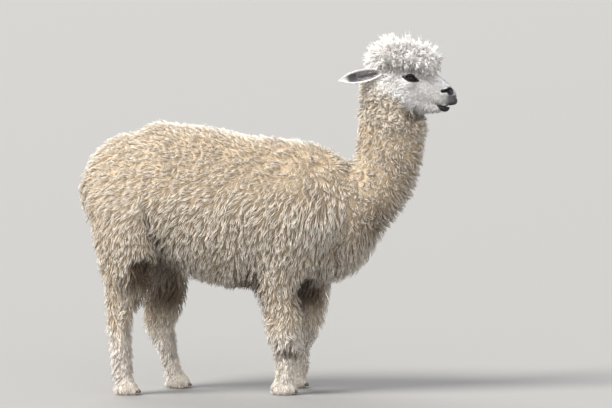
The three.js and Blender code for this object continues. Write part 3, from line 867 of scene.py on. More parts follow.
def horn_material():
    n = Nodes("toenail")
    place = n.node("ShaderNodeTexCoord").outputs["Object"]
    grown = n.noise(n.stretch(place, (420, 60, 60)), 1.0)
    cloud = n.noise(place, 120.0)
    colour = n.mix(grown, (0.045, 0.036, 0.030, 1), (0.16, 0.125, 0.095, 1))
    colour = n.mix(n.ramp(cloud, 0.55, 0.8), colour, (0.24, 0.19, 0.14, 1))
    n.shade(Base_Color=colour, Roughness=0.5, Normal=n.bump(grown, 0.6, 0.0008))
    return n.material


def lash_material():
    n = Nodes("lash")
    along = n.attribute("along").outputs["Fac"]
    n.shade(Base_Color=n.mix(along, (0.010, 0.008, 0.007, 1), (0.05, 0.04, 0.033, 1)), Roughness=0.45)
    return n.material


def ear_material():
    n = Nodes("ear")
    root = n.attribute("root").outputs["Vector"]
    inner = n.attribute("inner").outputs["Fac"]
    veins = n.noise(root, 90.0, 4.0)
    outside = n.mix(veins, (0.86, 0.84, 0.81, 1), (0.74, 0.71, 0.67, 1))
    inside = n.mix(veins, (0.032, 0.027, 0.030, 1), (0.10, 0.085, 0.090, 1))
    bump = n.bump(n.noise(root, 380.0), 0.4, 0.0006)
    n.shade(Base_Color=n.mix(inner, outside, inside), Roughness=0.75, Normal=bump)
    return n.material


WOOL = wool_material("wool", 0.35)
CREST = wool_material("crest", 0.8)
HAIR = wool_material("hair", 0.15)
SKIN = skin_material()
EAR_SKIN = ear_material()
LASH = lash_material()

# ---------------------------------------------------------------- skin

# Head and body are meshed apart, and meet at this plane under the neck's wool
NECK_PLANE = np.array([0.47, 0, 1.03])
NECK_UP = unit(np.array([0.25, 0, 0.97]))
LAP = 0.020  # how far the body's mesh runs up inside the head's
TUCK = 0.003


def past_neck(points):
    """How far places are above the plane where head and body meet."""
    return (points - NECK_PLANE) @ NECK_UP


def body_skin(points):
    """The field of the body's mesh, which slips under the head's at the neck."""
    high = past_neck(points)
    return np.maximum(body(points)[1] + TUCK * ease(-0.03, 0, high), high - LAP)


def head_skin(points):
    """The field of the head's mesh, on a grid that is turned with the head."""
    points = from_head(points)
    return np.maximum(head(points)[1], -past_neck(points))


body_points, body_quads = net(
    body_skin,
    lines([-0.78, 0.66, 0.010]),
    lines(
        [-0.27, -0.17, 0.010],
        [-0.17, -0.055, 0.006],
        [-0.055, 0.055, 0.010],
        [0.055, 0.17, 0.006],
        [0.17, 0.27, 0.010],
    ),
    lines([-0.012, 0.09, 0.006], [0.09, 1.14, 0.010]),
)
fine = 0.0018  # cells of the face
head_points, head_quads = net(
    head_skin,
    lines([0.300, 0.500, 0.005], [0.500, 0.746, fine]),
    lines([-0.135, -0.078, 0.005], [-0.078, 0.078, fine], [0.078, 0.135, 0.005]),
    lines([0.940, 1.070, 0.006], [1.070, 1.250, fine], [1.250, 1.390, 0.005]),
)
head_points = from_head(head_points)


def ear_frame(points, side):
    """Points made along -X from the ear's base, set on the head."""
    turned = Euler((EAR["roll"], 0, 0)).to_matrix()
    turned = Euler((0, -EAR["down"], 0)).to_matrix() @ turned
    turned = Euler((0, 0, -EAR["out"])).to_matrix() @ turned
    placed = points @ np.array(turned).T
    placed[:, 1] *= SIDES[side]
    return from_head(placed + EAR["base"] * [1, SIDES[side], 1])


EAR_ROWS = 44
EAR_ACROSS = 15
EAR_HAIR = 0.0035  # the ear's own edge lies this far inside the tips of its hair
EAR_THICK = 0.0028
EAR_BURIED = 0.10  # of its length, inside the head


def ear_surface(share, u, outer):
    """A place on the ear's leaf, before it is set on the head: u runs from -1 to 1 across it."""
    half, cup = (np.interp(share, EAR_OUTLINE[:, 0], EAR_OUTLINE[:, n]) for n in (1, 2))
    smooth = np.sqrt(np.clip(1 - share, 0, 1))
    half = np.maximum(half - EAR_HAIR * (0.5 + smooth), 0.0008)
    bend = cup * (u * u - 1)
    ridge = 0.0012 * np.cos(u * 9.0) * (1 - u * u) * ease(1.0, 0.4, share)
    x = -EAR["length"] * share * 0.985
    y = bend + ridge - 0.0010 - outer * EAR_THICK * (1 - 0.6 * u * u)
    return np.column_stack([x, y, half * u])


def ear_dark(share, across):
    """1 on the bare grey skin inside the ear, 0 on its white edge and tip."""
    return ease(0.92, 0.74, across) * ease(0.90, 0.74, share) * ease(0.03, 0.12, share)


def ring_quads(rows, around):
    """Quads between closed rings of corners."""
    row, i = (a.ravel() for a in np.meshgrid(np.arange(rows - 1), np.arange(around), indexing="ij"))
    a, b = row * around + i, row * around + (i + 1) % around
    return np.column_stack([a, b, b + around, a + around])


def ear_mesh(side):
    """Corners, quads and darkness of the ear's leaf: rings down the inside and back up the outside."""
    u_in = np.sin(np.linspace(-1, 1, EAR_ACROSS) * math.pi / 2)
    u = np.concatenate([u_in, u_in[::-1] * 0.97])
    outer = np.repeat([0.0, 1.0], EAR_ACROSS)
    rings = []
    inner = []
    for share in np.linspace(-EAR_BURIED, 1, EAR_ROWS):
        seen = max(share, 0)
        rings.append(ear_surface(np.full(len(u), seen), u, outer) + [EAR["length"] * max(-share, 0), 0, 0])
        inner.append((1 - outer) * ear_dark(seen, np.abs(u)))
    quads = ring_quads(EAR_ROWS, len(u))
    if side == "left":
        quads = quads[:, ::-1]
    return ear_frame(np.vstack(rings), side), quads, np.concatenate(inner)


def build_skin():
    """One object of the body, the head and both ears, in the place of all the flesh of the frame."""
    hairy = [(p, q, np.zeros(len(p))) for p, q in ((body_points, body_quads), (head_points, head_quads))]
    parts = hairy + [ear_mesh(side) for side in SIDES]
    points = np.vstack([part[0] for part in parts])
    shifts = np.cumsum([0] + [len(part[0]) for part in parts[:-1]])
    quads = np.vstack([part[1] + shift for part, shift in zip(parts, shifts)])
    skin = new_mesh("skin", points, quads, np.arange(len(quads)) * 4)
    skin.data.materials.append(SKIN)
    skin.data.materials.append(EAR_SKIN)
    slots = np.repeat([0, 0, 1, 1], [len(part[1]) for part in parts])
    skin.data.polygons.foreach_set("material_index", slots.astype(np.int32))
    store(skin, "marks", markings(points), "FLOAT_COLOR")
    store(skin, "root", points, "FLOAT_VECTOR")
    store(skin, "inner", np.concatenate([part[2] for part in parts]))
    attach(skin, "root")
    flesh = [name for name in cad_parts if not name.startswith("eye_") and "_nail_" not in name]
    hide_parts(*flesh)


build_skin()

# ---------------------------------------------------------------- coat

PATCH = 0.003  # a lock's patch on the bake's map


def unwrap(points):
    """A place on a map for each root: each limb is a sheet, with its length across and its girth up."""
    own = to_head(points)
    sheets = [(trunk, points), (neck, points), (tail, points), (skull, own), (jaw, own)]
    sheets += [(leg, points) for leg in legs.values()]
    best = np.full(len(points), np.inf)
    place = np.zeros((len(points), 2))
    for number, (limb, at) in enumerate(sheets):
        fields, along, angle = limb.measure(at)
        nearer = fields[1] < best
        best[nearer] = fields[1][nearer]
        column, row = number % 3, number // 3
        u = (column + 0.04 + 0.92 * along) / 3
        v = (row + 0.04 + 0.92 * (angle / (2 * math.pi) + 0.5)) / 3
        place[nearer] = np.column_stack([u, v])[nearer]
    return place


def scatter(points, quads, count, weight, draw):
    """Even random places on a mesh, denser where weight is more, and the normals there."""
    normals = corner_normals(points, quads)
    tris = quads[:, [0, 1, 2, 0, 2, 3]].reshape(-1, 3)
    a, b, c = (points[tris[:, n]] for n in range(3))
    area = np.linalg.norm(np.cross(b - a, c - a), axis=1) / 2 * weight((a + b + c) / 3)
    total = np.cumsum(area)
    picks = (np.arange(count) + draw.random(count)) / count * total[-1]
    face = np.minimum(np.searchsorted(total, picks), len(tris) - 1)
    s, t = draw.random(count), draw.random(count)
    flip = s + t > 1
    s[flip], t[flip] = 1 - s[flip], 1 - t[flip]
    shares = np.column_stack([1 - s - t, s, t])
    place = (points[tris[face]] * shares[:, :, None]).sum(axis=1)
    return place, unit((normals[tris[face]] * shares[:, :, None]).sum(axis=1))


def nearest(centres, points):
    """The number of the centre that is nearest to each point."""
    tree = KDTree(len(centres))
    for n, centre in enumerate(centres):
        tree.insert(centre, n)
    tree.balance()
    return np.array([tree.find(p)[1] for p in points])


# How wool lies. Length, half width and curl in metres; lift at root and tip in degrees off the skin; turns
# of the curl; gather to the clump's middle; swirl and sag as shares.
LOOKS = {
    "back": [0.034, 66, 32, 0.0016, 0.0018, 1.2, 0.72, 0.50, 0.00],
    "flank": [0.046, 54, 18, 0.0016, 0.0022, 1.3, 0.74, 0.30, 0.03],
    "chest": [0.085, 44, 8, 0.0017, 0.0028, 1.6, 0.78, 0.20, 0.06],
    "neck": [0.034, 72, 46, 0.0016, 0.0024, 1.2, 0.74, 1.00, 0.01],
    "tail": [0.050, 46, 14, 0.0016, 0.0022, 1.2, 0.72, 0.30, 0.08],
    "thigh": [0.042, 54, 18, 0.0016, 0.0024, 1.3, 0.72, 0.40, 0.04],
    "shin": [0.040, 54, 22, 0.0014, 0.0024, 0.9, 0.74, 0.30, 0.03],
    "foot": [0.018, 38, 14, 0.0011, 0.0006, 0.6, 0.50, 0.25, 0.00],
    "crown": [0.052, 78, 58, 0.0017, 0.0026, 1.2, 0.78, 0.85, 0.00],
    "cheek": [0.022, 40, 18, 0.0010, 0.0010, 0.7, 0.55, 0.30, 0.01],
    "face": [0.0100, 25, 10, 0.0007, 0.0005, 0.5, 0.45, 0.28, 0.00],
}
LENGTH, LIFT_ROOT, LIFT_TIP, WIDTH, CURL, TURNS, GATHER, SWIRL, SAG = range(9)


def zones(points):
    """How much each of LOOKS has a say at each place."""
    own = to_head(points)
    away = {}
    on_trunk = trunk(points)[1]
    low = ease(0.86, 0.66, points[:, 2])
    ahead = ease(-0.05, 0.22, points[:, 0]) * low
    away["back"] = on_trunk + 0.05 * low
    away["flank"] = on_trunk + 0.05 * (1 - low) + 0.05 * ahead
    away["chest"] = on_trunk + 0.05 * (1 - ahead)
    away["neck"] = neck(points)[1]
    away["tail"] = tail(points)[1]
    on_leg = np.minimum.reduce([leg(points)[1] for leg in legs.values()])
    knee = np.where(points[:, 0] < -0.14, 0.27, 0.17)
    low = ease(knee + 0.05, knee - 0.05, points[:, 2])
    away["thigh"] = on_leg + 0.06 * low
    bare = np.maximum(shank(points), ease(0.08, 0.05, points[:, 2]))
    away["shin"] = on_leg + 0.06 * (1 - low) + 0.05 * bare
    away["foot"] = on_leg + 0.08 * (1 - bare)
    away["crown"] = crown(own)[1]
    on_face = np.minimum(skull(own), jaw(own))[1] - 0.01
    on_nape = 1 - past_line(own[:, 0], own[:, 2], [0.455, 1.250], [0.535, 1.080], 0.015)
    muzzle = past_line(own[:, 0], own[:, 2], [0.520, 1.250], [0.590, 1.080], 0.025)
    away["cheek"] = on_face + 0.08 * on_nape + 0.04 * muzzle
    away["face"] = on_face + 0.08 * on_nape + 0.04 * (1 - muzzle)
    away = np.column_stack([away[name] for name in LOOKS])
    away = np.clip(away, -0.05, FAR)
    say = np.exp(-(away - away.min(axis=1, keepdims=True)) / 0.012)
    return say / say.sum(axis=1, keepdims=True)


CROWN_MIDDLE = np.array([0.520, 0, 1.235])  # the crown's locks spread out from here


def lie_of_coat(points, normals, swirl):
    """The way that the coat lies along the skin."""
    own = to_head(points)
    high = ease(0.55, 0.90, points[:, 2]) * ease(0.30, -0.05, points[:, 0])
    way = np.column_stack([-0.18 - 1.1 * high, np.zeros(len(points)), -1.0 + 0.45 * high])
    on_head = ease(0.01, -0.02, np.minimum(skull(own), jaw(own))[0]) * ease(0.49, 0.53, own[:, 0])
    back = turn(np.tile([-1.0, 0, 0.10], (len(points), 1)), HEAD_TURN)
    way = way * (1 - on_head[:, None]) + back * on_head[:, None]
    on_crown = ease(0.004, -0.006, crown(own)[1])[:, None]
    radial = own - CROWN_MIDDLE
    spread = turn(unit(radial * [1.0, 1.0, 0.4] + [-0.02, 0, 0.03]), HEAD_TURN)
    way = way * (1 - on_crown) + spread * on_crown
    noise = wave_ways(points, 0.055, 21) * 0.7 + wave_ways(points, 0.16, 31) * 0.6
    way = way + noise * swirl[:, None]
    return unit(way - normals * dot(way, normals)[:, None])


def lock_mesh(name, path, across, deep, marks, tones, uv, draw, material, slot):
    """Tapered three-sided locks along paths (count, levels + 1, 3), as one mesh with its bake map."""
    count, levels = path.shape[0], path.shape[1] - 1
    corners = levels * 3 + 1
    angles = np.array([math.pi / 2, math.pi * 7 / 6, math.pi * 11 / 6])
    c, s = np.cos(angles)[:, None], np.sin(angles)[:, None]
    ring = path[:, :-1, None] + (across[:, :-1, None] * c + deep[:, :-1, None] * s)
    points = np.concatenate([ring.reshape(count, -1, 3), path[:, -1:]], axis=1)
    faces, cells, starts = [], [], []
    for level in range(levels - 1):
        for i in range(3):
            j = (i + 1) % 3
            a, b = level * 3 + i, level * 3 + j
            starts.append(len(faces))
            faces += [a, b, b + 3, a + 3]
            cells += [(i, level), (i + 1, level), (i + 1, level + 1), (i, level + 1)]
    for i in range(3):
        starts.append(len(faces))
        faces += [(levels - 1) * 3 + i, (levels - 1) * 3 + (i + 1) % 3, levels * 3]
        cells += [(i, levels - 1), (i + 1, levels - 1), (i + 0.5, levels)]
    shift = np.arange(count)[:, None]
    made = new_mesh(
        name,
        points.reshape(-1, 3),
        (np.array(faces) + shift * corners).ravel(),
        (np.array(starts) + shift * len(faces)).ravel(),
    )
    bake = made.data.uv_layers.new(name="OFBake")
    spots = (np.array(cells) / [3, levels] - 0.5) * PATCH
    bake.data.foreach_set("uv", (uv[:, None] + spots).astype(np.float32).ravel())
    along = np.append(np.repeat(np.arange(levels) / levels, 3), 1.0)
    store(made, "along", np.tile(along, count))
    store(made, "marks", np.repeat(np.column_stack([marks, tones]), corners, axis=0), "FLOAT_COLOR")
    store(made, "root", np.repeat(path[:, 0], corners, axis=0), "FLOAT_VECTOR")
    around = np.append(np.tile(angles, levels), 0)
    lengthwise = along * 1.4 + draw.random((count, 1)) * 90
    round_it = [np.tile(way(around) * 0.6, (count, 1)) for way in (np.cos, np.sin)]
    store(made, "lock", np.stack([*round_it, lengthwise], axis=-1), "FLOAT_VECTOR")
    made.data.materials.append(material)
    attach(made, "root")


def climb(lift, step):
    """How far along the skin and off it each level of a lock is, by its lift and the length of a step."""
    ways = []
    for share in (np.cos(lift), np.sin(lift)):
        share[:, 0] = 0
        ways.append(np.cumsum(share * step, axis=1))
    return ways


LOCK_FLAT = 0.55  # of a lock's width, its thickness


def grow(roots, normals, lie, look, clump, levels, draw, over):
    """Paths of locks with their half widths, kept in the room that the frame gives the coat."""
    count = len(roots)
    s = np.linspace(0, 1, levels + 1)
    fine = s[:, None]
    bend = (look[:, LIFT_TIP] - look[:, LIFT_ROOT])[:, None] * s**0.7
    lift = np.radians(look[:, LIFT_ROOT, None] + bend)
    step = look[:, LENGTH, None] / levels
    forward, upward = climb(lift, step)
    reach = clump["reach"] * over + clump["stand"] + draw.normal(0, 0.0015, count)
    room = np.maximum(reach - animal(roots)[0], 0.002)
    fit = np.clip(room / np.maximum(upward.max(axis=1), 1e-4), 0.3, 1.5)[:, None]
    upward *= fit
    forward *= fit**0.4
    side = np.cross(normals, lie)
    path = roots[:, None] + lie[:, None] * forward[..., None] + normals[:, None] * upward[..., None]
    path += clump["pull"][:, None] * (look[:, GATHER, None, None] * fine**1.2)
    phase = clump["phase"] + draw.normal(0, 0.5, count)
    swing = np.sin(phase[:, None] + 2 * math.pi * look[:, TURNS, None] * s) * s**0.6
    rock = np.cos(phase[:, None] * 1.7 + 2 * math.pi * look[:, TURNS, None] * s) * s**0.6
    curl = (look[:, CURL] * draw.uniform(0.6, 1.3, count))[:, None, None]
    path += side[:, None] * swing[..., None] * curl + normals[:, None] * rock[..., None] * curl * 0.6
    path[..., 2] -= (look[:, SAG] * look[:, LENGTH])[:, None] * s**2
    reach = reach[:, None]
    for _ in range(2):
        fields = animal(path.reshape(-1, 3)).reshape(2, count, -1)
        out = np.maximum(fields[0] - reach, 0) * (s > 0)
        inward = np.maximum(0.0015 + 0.35 * look[:, WIDTH, None] - fields[1], 0) * (s > 0)
        path += normals[:, None] * (inward - out)[..., None]
    path[..., 2] = np.maximum(path[..., 2], 0.0012)
    ahead = unit(np.gradient(path, axis=1))
    across = unit(np.cross(ahead, normals[:, None] + 1e-4))
    deep = np.cross(across, ahead)
    taper = np.interp(s, [0, 0.25, 0.6, 0.85, 1], [0.9, 1.0, 0.85, 0.45, 0.05])
    half = look[:, WIDTH, None, None] * taper[:, None] * draw.uniform(0.75, 1.25, (count, 1, 1))
    return path, across * half, deep * half * LOCK_FLAT


def clumps_for(points, quads, roots, count, weight, draw, spikes):
    """What its clump gives each root."""
    centres, _ = scatter(points, quads, count, weight, draw)
    which = nearest(centres, roots)
    return {
        "pull": centres[which] - roots,
        "phase": draw.uniform(0, 2 * math.pi, count)[which],
        "reach": (draw.normal(-0.5, 1.0, count) + spikes * (draw.random(count) < 0.18))[which],
        "long": draw.normal(0, 1, count)[which],
        "way": draw.normal(0, 1, (count, 3))[which],
        "tone": draw.normal(0, 1, count)[which],
    }


BELLY_HANG = 0.012  # how far the belly's wool hangs past the frame


def dress(points, quads, count, per_clump, levels, weight, seed, over=0.004, spikes=0.0, stand=None):
    """Locks over a mesh, as a dict of arrays.

    Clumps differ in height by over, and a few stand further by spikes times as much. stand gives a height
    to add at each root.
    """
    draw = np.random.default_rng(seed)
    roots, normals = scatter(points, quads, count, weight, draw)
    clump = clumps_for(points, quads, roots, int(count / per_clump), weight, draw, spikes)
    look = zones(roots) @ np.array(list(LOOKS.values()))
    lie = lie_of_coat(roots, normals, look[:, SWIRL])
    lie = lie + (clump["way"] * 0.30 + draw.normal(0, 0.10, roots.shape)) * look[:, SWIRL, None] * 1.4
    lie = unit(lie - normals * dot(lie, normals)[:, None])
    hang = ease(-0.15, -0.60, normals[:, 2]) * ease(0.30, 0.36, roots[:, 2])  # 1 under the belly
    look[:, LIFT_TIP] += 40 * hang
    look[:, LENGTH] *= 1 + 0.4 * hang
    clump["stand"] = BELLY_HANG * hang if stand is None else stand(roots)
    lean = unit(normals + clump["way"] * 0.10)
    look[:, LENGTH] *= 1 + 25 * np.minimum(clump["stand"], 0)
    look[:, LENGTH] *= np.clip(1 + 0.16 * clump["long"] + 0.12 * draw.normal(0, 1, count), 0.5, 1.6)
    path, across, deep = grow(roots, lean, lie, look, clump, levels, draw, over)
    tones = np.clip(0.96 + 0.05 * clump["tone"] + draw.normal(0, 0.045, count), 0.75, 1.1)
    marks = markings(roots)
    return {
        "path": path,
        "across": across,
        "deep": deep,
        "marks": marks[:, :3],
        "tones": tones * marks[:, 3],
        "uv": unwrap(roots),
        "draw": draw,
    }


MOST_FACES = 199_000  # triangles in one piece of the coat


def coat_piece(name, made, material, slot="fleece", chosen=slice(None)):
    """One piece of the coat, of the chosen locks of those made."""
    arrays = [made[key][chosen] for key in ("path", "across", "deep", "marks", "tones", "uv")]
    count, corners = arrays[0].shape[:2]
    faces = count * ((corners - 2) * 6 + 3)
    if faces > MOST_FACES:
        raise ValueError(f"{name} has {faces} triangles")
    lock_mesh(name, *arrays, made["draw"], material, slot)


def density(points):
    """How close the locks stand."""
    high = ease(0.85, 1.0, points[:, 2])
    low = ease(0.28, 0.10, points[:, 2])
    covered = ease(0.10, 0.03, np.abs(points[:, 1])) * ease(0.42, 0.30, points[:, 2])
    made = 1 + 0.5 * high + 1.6 * low - 0.3 * covered
    made = made * (past_neck(points) < 0.004)
    return made * (points[:, 2] > 0.004)


LEG_TOP = 0.62  # the coat's pieces of the legs end below this height, and that of the neck above it
WAIST = -0.14  # the coat's fore pieces lie ahead of this


def build_body_coat():
    """The fleece of the body, in ten pieces by the limb that each lock grows on."""
    coat = dress(body_points, body_quads, 44_500, 5, 4, density, 3)
    root = coat["path"][:, 0]
    to_neck, to_trunk, to_tail = (limb(root)[1] for limb in (neck, trunk, tail))
    to_leg = np.minimum.reduce([leg(root)[1] for leg in legs.values()])
    high = root[:, 2] > LEG_TOP
    on_neck = (to_neck < to_trunk) & high
    on_leg = (to_leg < np.minimum(to_trunk, to_neck)) & ~high
    on_tail = (to_tail < 0.004) & ~on_leg
    rest = ~on_neck & ~on_leg & ~on_tail
    coat_piece("coat_neck", coat, WOOL, chosen=on_neck & ~on_tail)
    coat_piece("coat_tail", coat, WOOL, chosen=on_tail)
    left = root[:, 1] > 0
    front = root[:, 0] > WAIST
    for side, here in (("left", left), ("right", ~left)):
        coat_piece(f"coat_shoulder_{side}", coat, WOOL, chosen=rest & here & front)
        coat_piece(f"coat_rump_{side}", coat, WOOL, chosen=rest & here & ~front)
        coat_piece(f"coat_foreleg_{side}", coat, WOOL, chosen=on_leg & here & front)
        coat_piece(f"coat_hindleg_{side}", coat, WOOL, chosen=on_leg & here & ~front)


def crown_weight(points):
    """Where the crown's wool grows."""
    own = to_head(points)
    return ease(0.006, -0.002, crown(own)[1]) * (past_neck(points) > -0.002)


def nape_weight(points):
    """Where the neck's wool grows on the head's mesh."""
    own = to_head(points)
    bare = ease(0.004, 0.012, skull(own)[0]) * ease(0.004, 0.012, jaw(own)[0])
    cheek = past_line(own[:, 0], own[:, 2], [0.480, 1.250], [0.550, 1.080], 0.020)
    made = np.maximum(bare, 1 - cheek) * (crown_weight(points) < 0.5)
    return made * (past_neck(points) > -0.002)


def face_weight(points):
    """Where the short hair of the face grows: not on the lids, nostrils and lips."""
    own = to_head(points)
    along, up, out, reach = eye_place(own)
    clear = (eye_gap(along, up) > 0.0030) | (out < 0) | (reach > 0.04)
    dark = markings(points)[:, 2]
    face = ease(0.016, -0.004, np.minimum(skull(own), jaw(own))[0]) * ease(-0.004, 0.006, crown(own)[1])
    return face * clear * (dark < 0.4) * (past_neck(points) > 0)


def bell(x, middle, width):
    """1 at the middle and 0 more than twice the width away."""
    return np.exp(-(((x - middle) / width) ** 2))


def crown_stand(points):
    """How far the crown's locks stand past the frame: tall over the poll, short over the brow."""
    own = to_head(points)
    tall = bell(own[:, 0], 0.492, 0.030) + 0.5 * bell(own[:, 0], 0.580, 0.016)
    return 0.012 * tall * ease(1.28, 1.32, own[:, 2]) - 0.019 * ease(0.600, 0.660, own[:, 0])


head_net = (head_points, head_quads)
build_body_coat()
crown_coat = dress(*head_net, 7_000, 8, 5, crown_weight, 5, over=0.007, spikes=3.0, stand=crown_stand)
coat_piece("coat_crown", crown_coat, CREST)
coat_piece("coat_nape", dress(*head_net, 7_500, 5, 4, nape_weight, 7, over=0.008, spikes=1.2), WOOL)
coat_piece("coat_face", dress(*head_net, 13_000, 5, 2, face_weight, 6, over=0.0015), HAIR, "skin")


def bent(roots, out, ahead, look, levels, draw):
    """Plain hairs that leave along out and bend over to ahead: look is length, lifts and half width."""
    count = len(roots)
    length, first, last, half = (np.broadcast_to(part, count) for part in look)
    s = np.linspace(0, 1, levels + 1)
    lift = np.radians(first[:, None] + (last - first)[:, None] * s)
    step = (length * draw.uniform(0.7, 1.2, count))[:, None] / levels
    forward, upward = climb(lift, step)
    path = roots[:, None] + ahead[:, None] * forward[..., None] + out[:, None] * upward[..., None]
    along = unit(np.gradient(path, axis=1))
    across = unit(np.cross(along, out[:, None] + 1e-4))
    taper = np.interp(s, [0, 0.3, 0.7, 1], [0.9, 1.0, 0.7, 0.06])[:, None] * half[:, None, None]
    return path, across * taper, np.cross(across, along) * taper * 0.6


def set_locks(place, path, across, deep):
    """Locks and their half widths after a function has placed them on the body."""
    at = place(path.reshape(-1, 3))
    wide, thick = (place((path + part).reshape(-1, 3)) - at for part in (across, deep))
    return [part.reshape(path.shape) for part in (at, wide, thick)]


def ear_coat(side):
    """White hair over the back of the ear and out past its edge, and thin pale hairs inside the cup."""
    draw = np.random.default_rng(51)
    behind, edge, within = 1500, 1100, 260
    count = behind + edge + within
    kind = np.repeat([0, 1, 2], [behind, edge, within])
    share = np.where(kind == 2, draw.uniform(0.04, 0.55, count), draw.uniform(0.0, 0.985, count))
    on_edge = draw.choice([-1.0, 1.0], count) * draw.uniform(0.90, 1.0, count)
    u = np.where(kind == 1, on_edge, draw.uniform(-0.96, 0.96, count))
    u = np.where(kind == 2, draw.uniform(0.35, 0.9, count) * draw.choice([-1, 1, 1], count), u)
    outer = (kind == 0) * 1.0
    nudge = 0.01  # for slopes
    here = ear_surface(share, u, outer)
    towards_tip = unit(ear_surface(share + nudge, u, outer) - ear_surface(share - nudge, u, outer))
    over = unit(ear_surface(share, u + nudge, outer) - ear_surface(share, u - nudge, outer))
    facing = np.where(kind == 0, -1, 1)
    out = unit(np.cross(over, towards_tip)) * facing[:, None]
    out = out * np.sign(out[:, 1] * facing)[:, None]
    rim = (kind == 1)[:, None]
    out = np.where(rim, over * np.sign(u)[:, None], out)
    inwards = (kind == 2)[:, None] * over * -np.sign(u)[:, None]
    ahead = unit(towards_tip + inwards * 0.9 + draw.normal(0, 0.16, here.shape))
    length = np.select([kind == 0, kind == 1], [0.015, 0.009 + 0.004 * ease(0.5, 0.0, share)], 0.015)
    length = length * (1 - 0.6 * ease(0.70, 1.0, share))
    look = (length, 34, np.where(kind == 0, 12, 6), np.where(kind == 2, 0.0004, 0.0009))
    path, across, deep = bent(here, out, ahead, look, 3, draw)
    placed, across, deep = set_locks(lambda at: ear_frame(at, side), path, across, deep)
    marks = np.zeros((count, 3))
    marks[:, 1] = 1
    marks[:, 2] = (kind == 2) * 0.45
    if side == "left":
        across = -across
    uv = np.column_stack([0.04 + 0.92 * share, 0.27 + 0.22 * u + 0.5 * outer])
    tones = draw.uniform(0.86, 1.05, count)
    lock_mesh(f"coat_ear_{side}", placed, across, deep, marks, tones, uv, draw, HAIR, "skin")


def lashes(side):
    """Long dark lashes over the eye and short ones under it."""
    draw = np.random.default_rng(52)
    above, below = 150, 50
    count = above + below
    top = np.arange(count) < above
    along = np.where(top, draw.uniform(-0.95, 0.97, count), draw.uniform(-0.8, 0.8, count))
    arch = 1 - along**2
    high = np.where(top, LID["upper"] * arch + 0.0008, -LID["lower"] * arch - 0.0006)
    reach = EYE["radius"] + LID["thick"] * 0.8
    across = along * LID["half"]
    out = np.sqrt(reach**2 - across**2 - high**2)
    roots = EYE["at"] + np.column_stack([across, high, out]) @ EYE_AXES
    rise = np.where(top, 0.15, -0.45)
    away = unit(np.column_stack([0.35 * along, rise, np.full(count, 0.75)]))
    droop = unit(np.column_stack([0.55 * along, np.where(top, -0.35, -0.6), np.full(count, 0.75)]))
    away, droop = away @ EYE_AXES, unit(droop + draw.normal(0, 0.12, (count, 3))) @ EYE_AXES
    length = np.where(top, 0.0100, 0.0055)
    path, wide, deep = bent(roots, away, droop, (length, 60, 10, 0.00042), 4, draw)
    placed, wide, deep = set_locks(lambda at: from_head(at * [1, SIDES[side], 1]), path, wide, deep)
    if side == "right":
        wide = -wide
    uv = np.column_stack([0.5 + 0.45 * along, np.where(top, 0.7, 0.3)])
    marks = np.zeros((count, 3))
    lock_mesh(f"lashes_{side}", placed, wide, deep, marks, np.ones(count), uv, draw, LASH, "eye")


WISP_TOP = 1.386  # about the height that they may reach


def wisps():
    """Thin locks that stand out of the crown's wool, tallest over the poll."""
    draw = np.random.default_rng(54)
    tips = to_head(crown_coat["path"][:, -1])
    chosen = draw.permutation(np.flatnonzero(tips[:, 2] > 1.272))[:360]
    count = len(chosen)
    tips = tips[chosen]
    out = unit(tips - CROWN_MIDDLE)
    roots = tips - out * 0.016
    room = np.maximum((WISP_TOP - roots[:, 2]) / 1.2, 0.010)
    length = np.minimum(0.022 + 0.022 * bell(tips[:, 0], 0.480, 0.017), room)
    ahead = unit(out + [-0.30, 0, 0.50] + draw.normal(0, 0.35, roots.shape))
    path, across, deep = bent(roots, out, ahead, (length, 82, 40, 0.0008), 4, draw)
    placed, across, deep = set_locks(from_head, path, across, deep)
    marks = np.tile([0.0, 1.0, 0.0], (count, 1))
    tones = draw.uniform(0.92, 1.05, count)
    uv = crown_coat["uv"][chosen]
    lock_mesh("coat_wisps", placed, across, deep, marks, tones, uv, draw, CREST, "fleece")


wisps()
for side in SIDES:
    ear_coat(side)
    lashes(side)

# ---------------------------------------------------------------- eyes and toenails

EYE_SLACK = 0.0004  # between the eyeball and its socket
EYE_ROWS = 40
EYE_AROUND = 48
CORNEA = 0.035  # its bulge, as a share of the radius
IRIS = [0.62, 0.50]  # half its length and height, as shares of the radius
PUPIL = [0.34, 0.17]


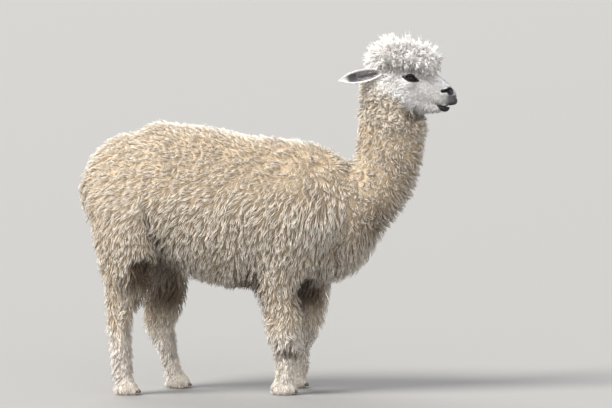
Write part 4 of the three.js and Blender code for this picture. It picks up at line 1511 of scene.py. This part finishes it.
def build_eye(side):
    """The eyeball, with a cornea that bulges a little, an iris and a long level pupil."""
    polar = np.linspace(0, math.pi, EYE_ROWS)
    turns = np.linspace(0, 2 * math.pi, EYE_AROUND, endpoint=False)
    theta, phi = (a.ravel() for a in np.meshgrid(polar, turns, indexing="ij"))
    bulge = 1 + CORNEA * ease(0.60, 0.0, theta)
    local = np.column_stack([np.sin(theta) * np.cos(phi), np.sin(theta) * np.sin(phi), np.cos(theta)])
    points = (local * bulge[:, None] * (EYE["radius"] - EYE_SLACK)) @ EYE_AXES + EYE["at"]
    points[:, 1] *= SIDES[side]
    quads = ring_quads(EYE_ROWS, EYE_AROUND)[:, [0, 3, 2, 1]]
    if side == "right":
        quads = quads[:, ::-1]
    ball = new_mesh(f"eyeball_{side}", from_head(points), quads, np.arange(len(quads)) * 4)
    reach = np.linalg.norm(local[:, :2] / IRIS, axis=1) + (local[:, 2] < 0)
    pupil = (np.abs(local[:, :2]) / PUPIL).max(axis=1)
    store(ball, "iris", np.minimum(reach, 0.3 + 0.6 * ease(0.8, 1.3, pupil)) + (reach > 1))
    store(ball, "ray", np.column_stack([np.cos(phi) * 3, np.sin(phi) * 3, reach * 0.4]), "FLOAT_VECTOR")
    ball.data.materials.append(EYE_GLOSS)
    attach(ball, "root")
    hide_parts(f"eye_{side}")


EYE_GLOSS = eye_material()
HORN = horn_material()
for side in SIDES:
    build_eye(side)
for name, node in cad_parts.items():
    if "_nail_" in name:
        node.data.materials.clear()
        node.data.materials.append(HORN)

# ---------------------------------------------------------------- stage, light and camera

CAMERA_AT = Vector((0.1463, -13.968, 1.677))
AIM = Vector((0.1463, 0, 0.7245))


FLOOR = 400.0  # half its width


def build_stage():
    n = Nodes("floor")
    n.shade(Base_Color=(0.205, 0.199, 0.190, 1), Roughness=0.9)
    corners = np.array([[-1, -1, 0], [1, -1, 0], [1, 1, 0], [-1, 1, 0]]) * FLOOR
    floor = new_mesh("floor", corners, np.arange(4), np.array([0]))
    floor.data.materials.append(n.material)


def sun(name, way, strength, spread, colour):
    """A lamp that shines along way, its edge softened by a spread in degrees."""
    lamp = bpy.data.lights.new(name, "SUN")
    lamp.energy = strength
    lamp.angle = math.radians(spread)
    lamp.color = colour
    made = bpy.data.objects.new(name, lamp)
    made.rotation_euler = Vector(way).to_track_quat("-Z", "Y").to_euler()
    bpy.context.scene.collection.objects.link(made)


build_stage()
sun("key", (0.70, 0.35, -0.82), 6.3, 25, (1.0, 0.985, 0.96))
sun("fill", (-0.15, 1.0, -0.40), 1.42, 60, (0.97, 0.98, 1.0))
sun("rim", (0.30, -0.62, -0.72), 1.9, 40, (1.0, 0.985, 0.96))
world = bpy.data.worlds.new("studio")
world.use_nodes = True
sky = world.node_tree.nodes["Background"].inputs
sky["Color"].default_value = (0.86, 0.89, 0.95, 1)
sky["Strength"].default_value = 0.87
bpy.context.scene.world = world
bpy.context.scene.view_settings.view_transform = "Standard"

lens = bpy.data.cameras.new("camera")
lens.sensor_width = 36.0
lens.lens = 213.9
lens.clip_end = 1000
camera = bpy.data.objects.new("camera", lens)
camera.location = CAMERA_AT
camera.rotation_euler = (AIM - CAMERA_AT).to_track_quat("-Z", "Y").to_euler()
bpy.context.scene.collection.objects.link(camera)
bpy.context.scene.camera = camera

bpy.context.view_layer.update()
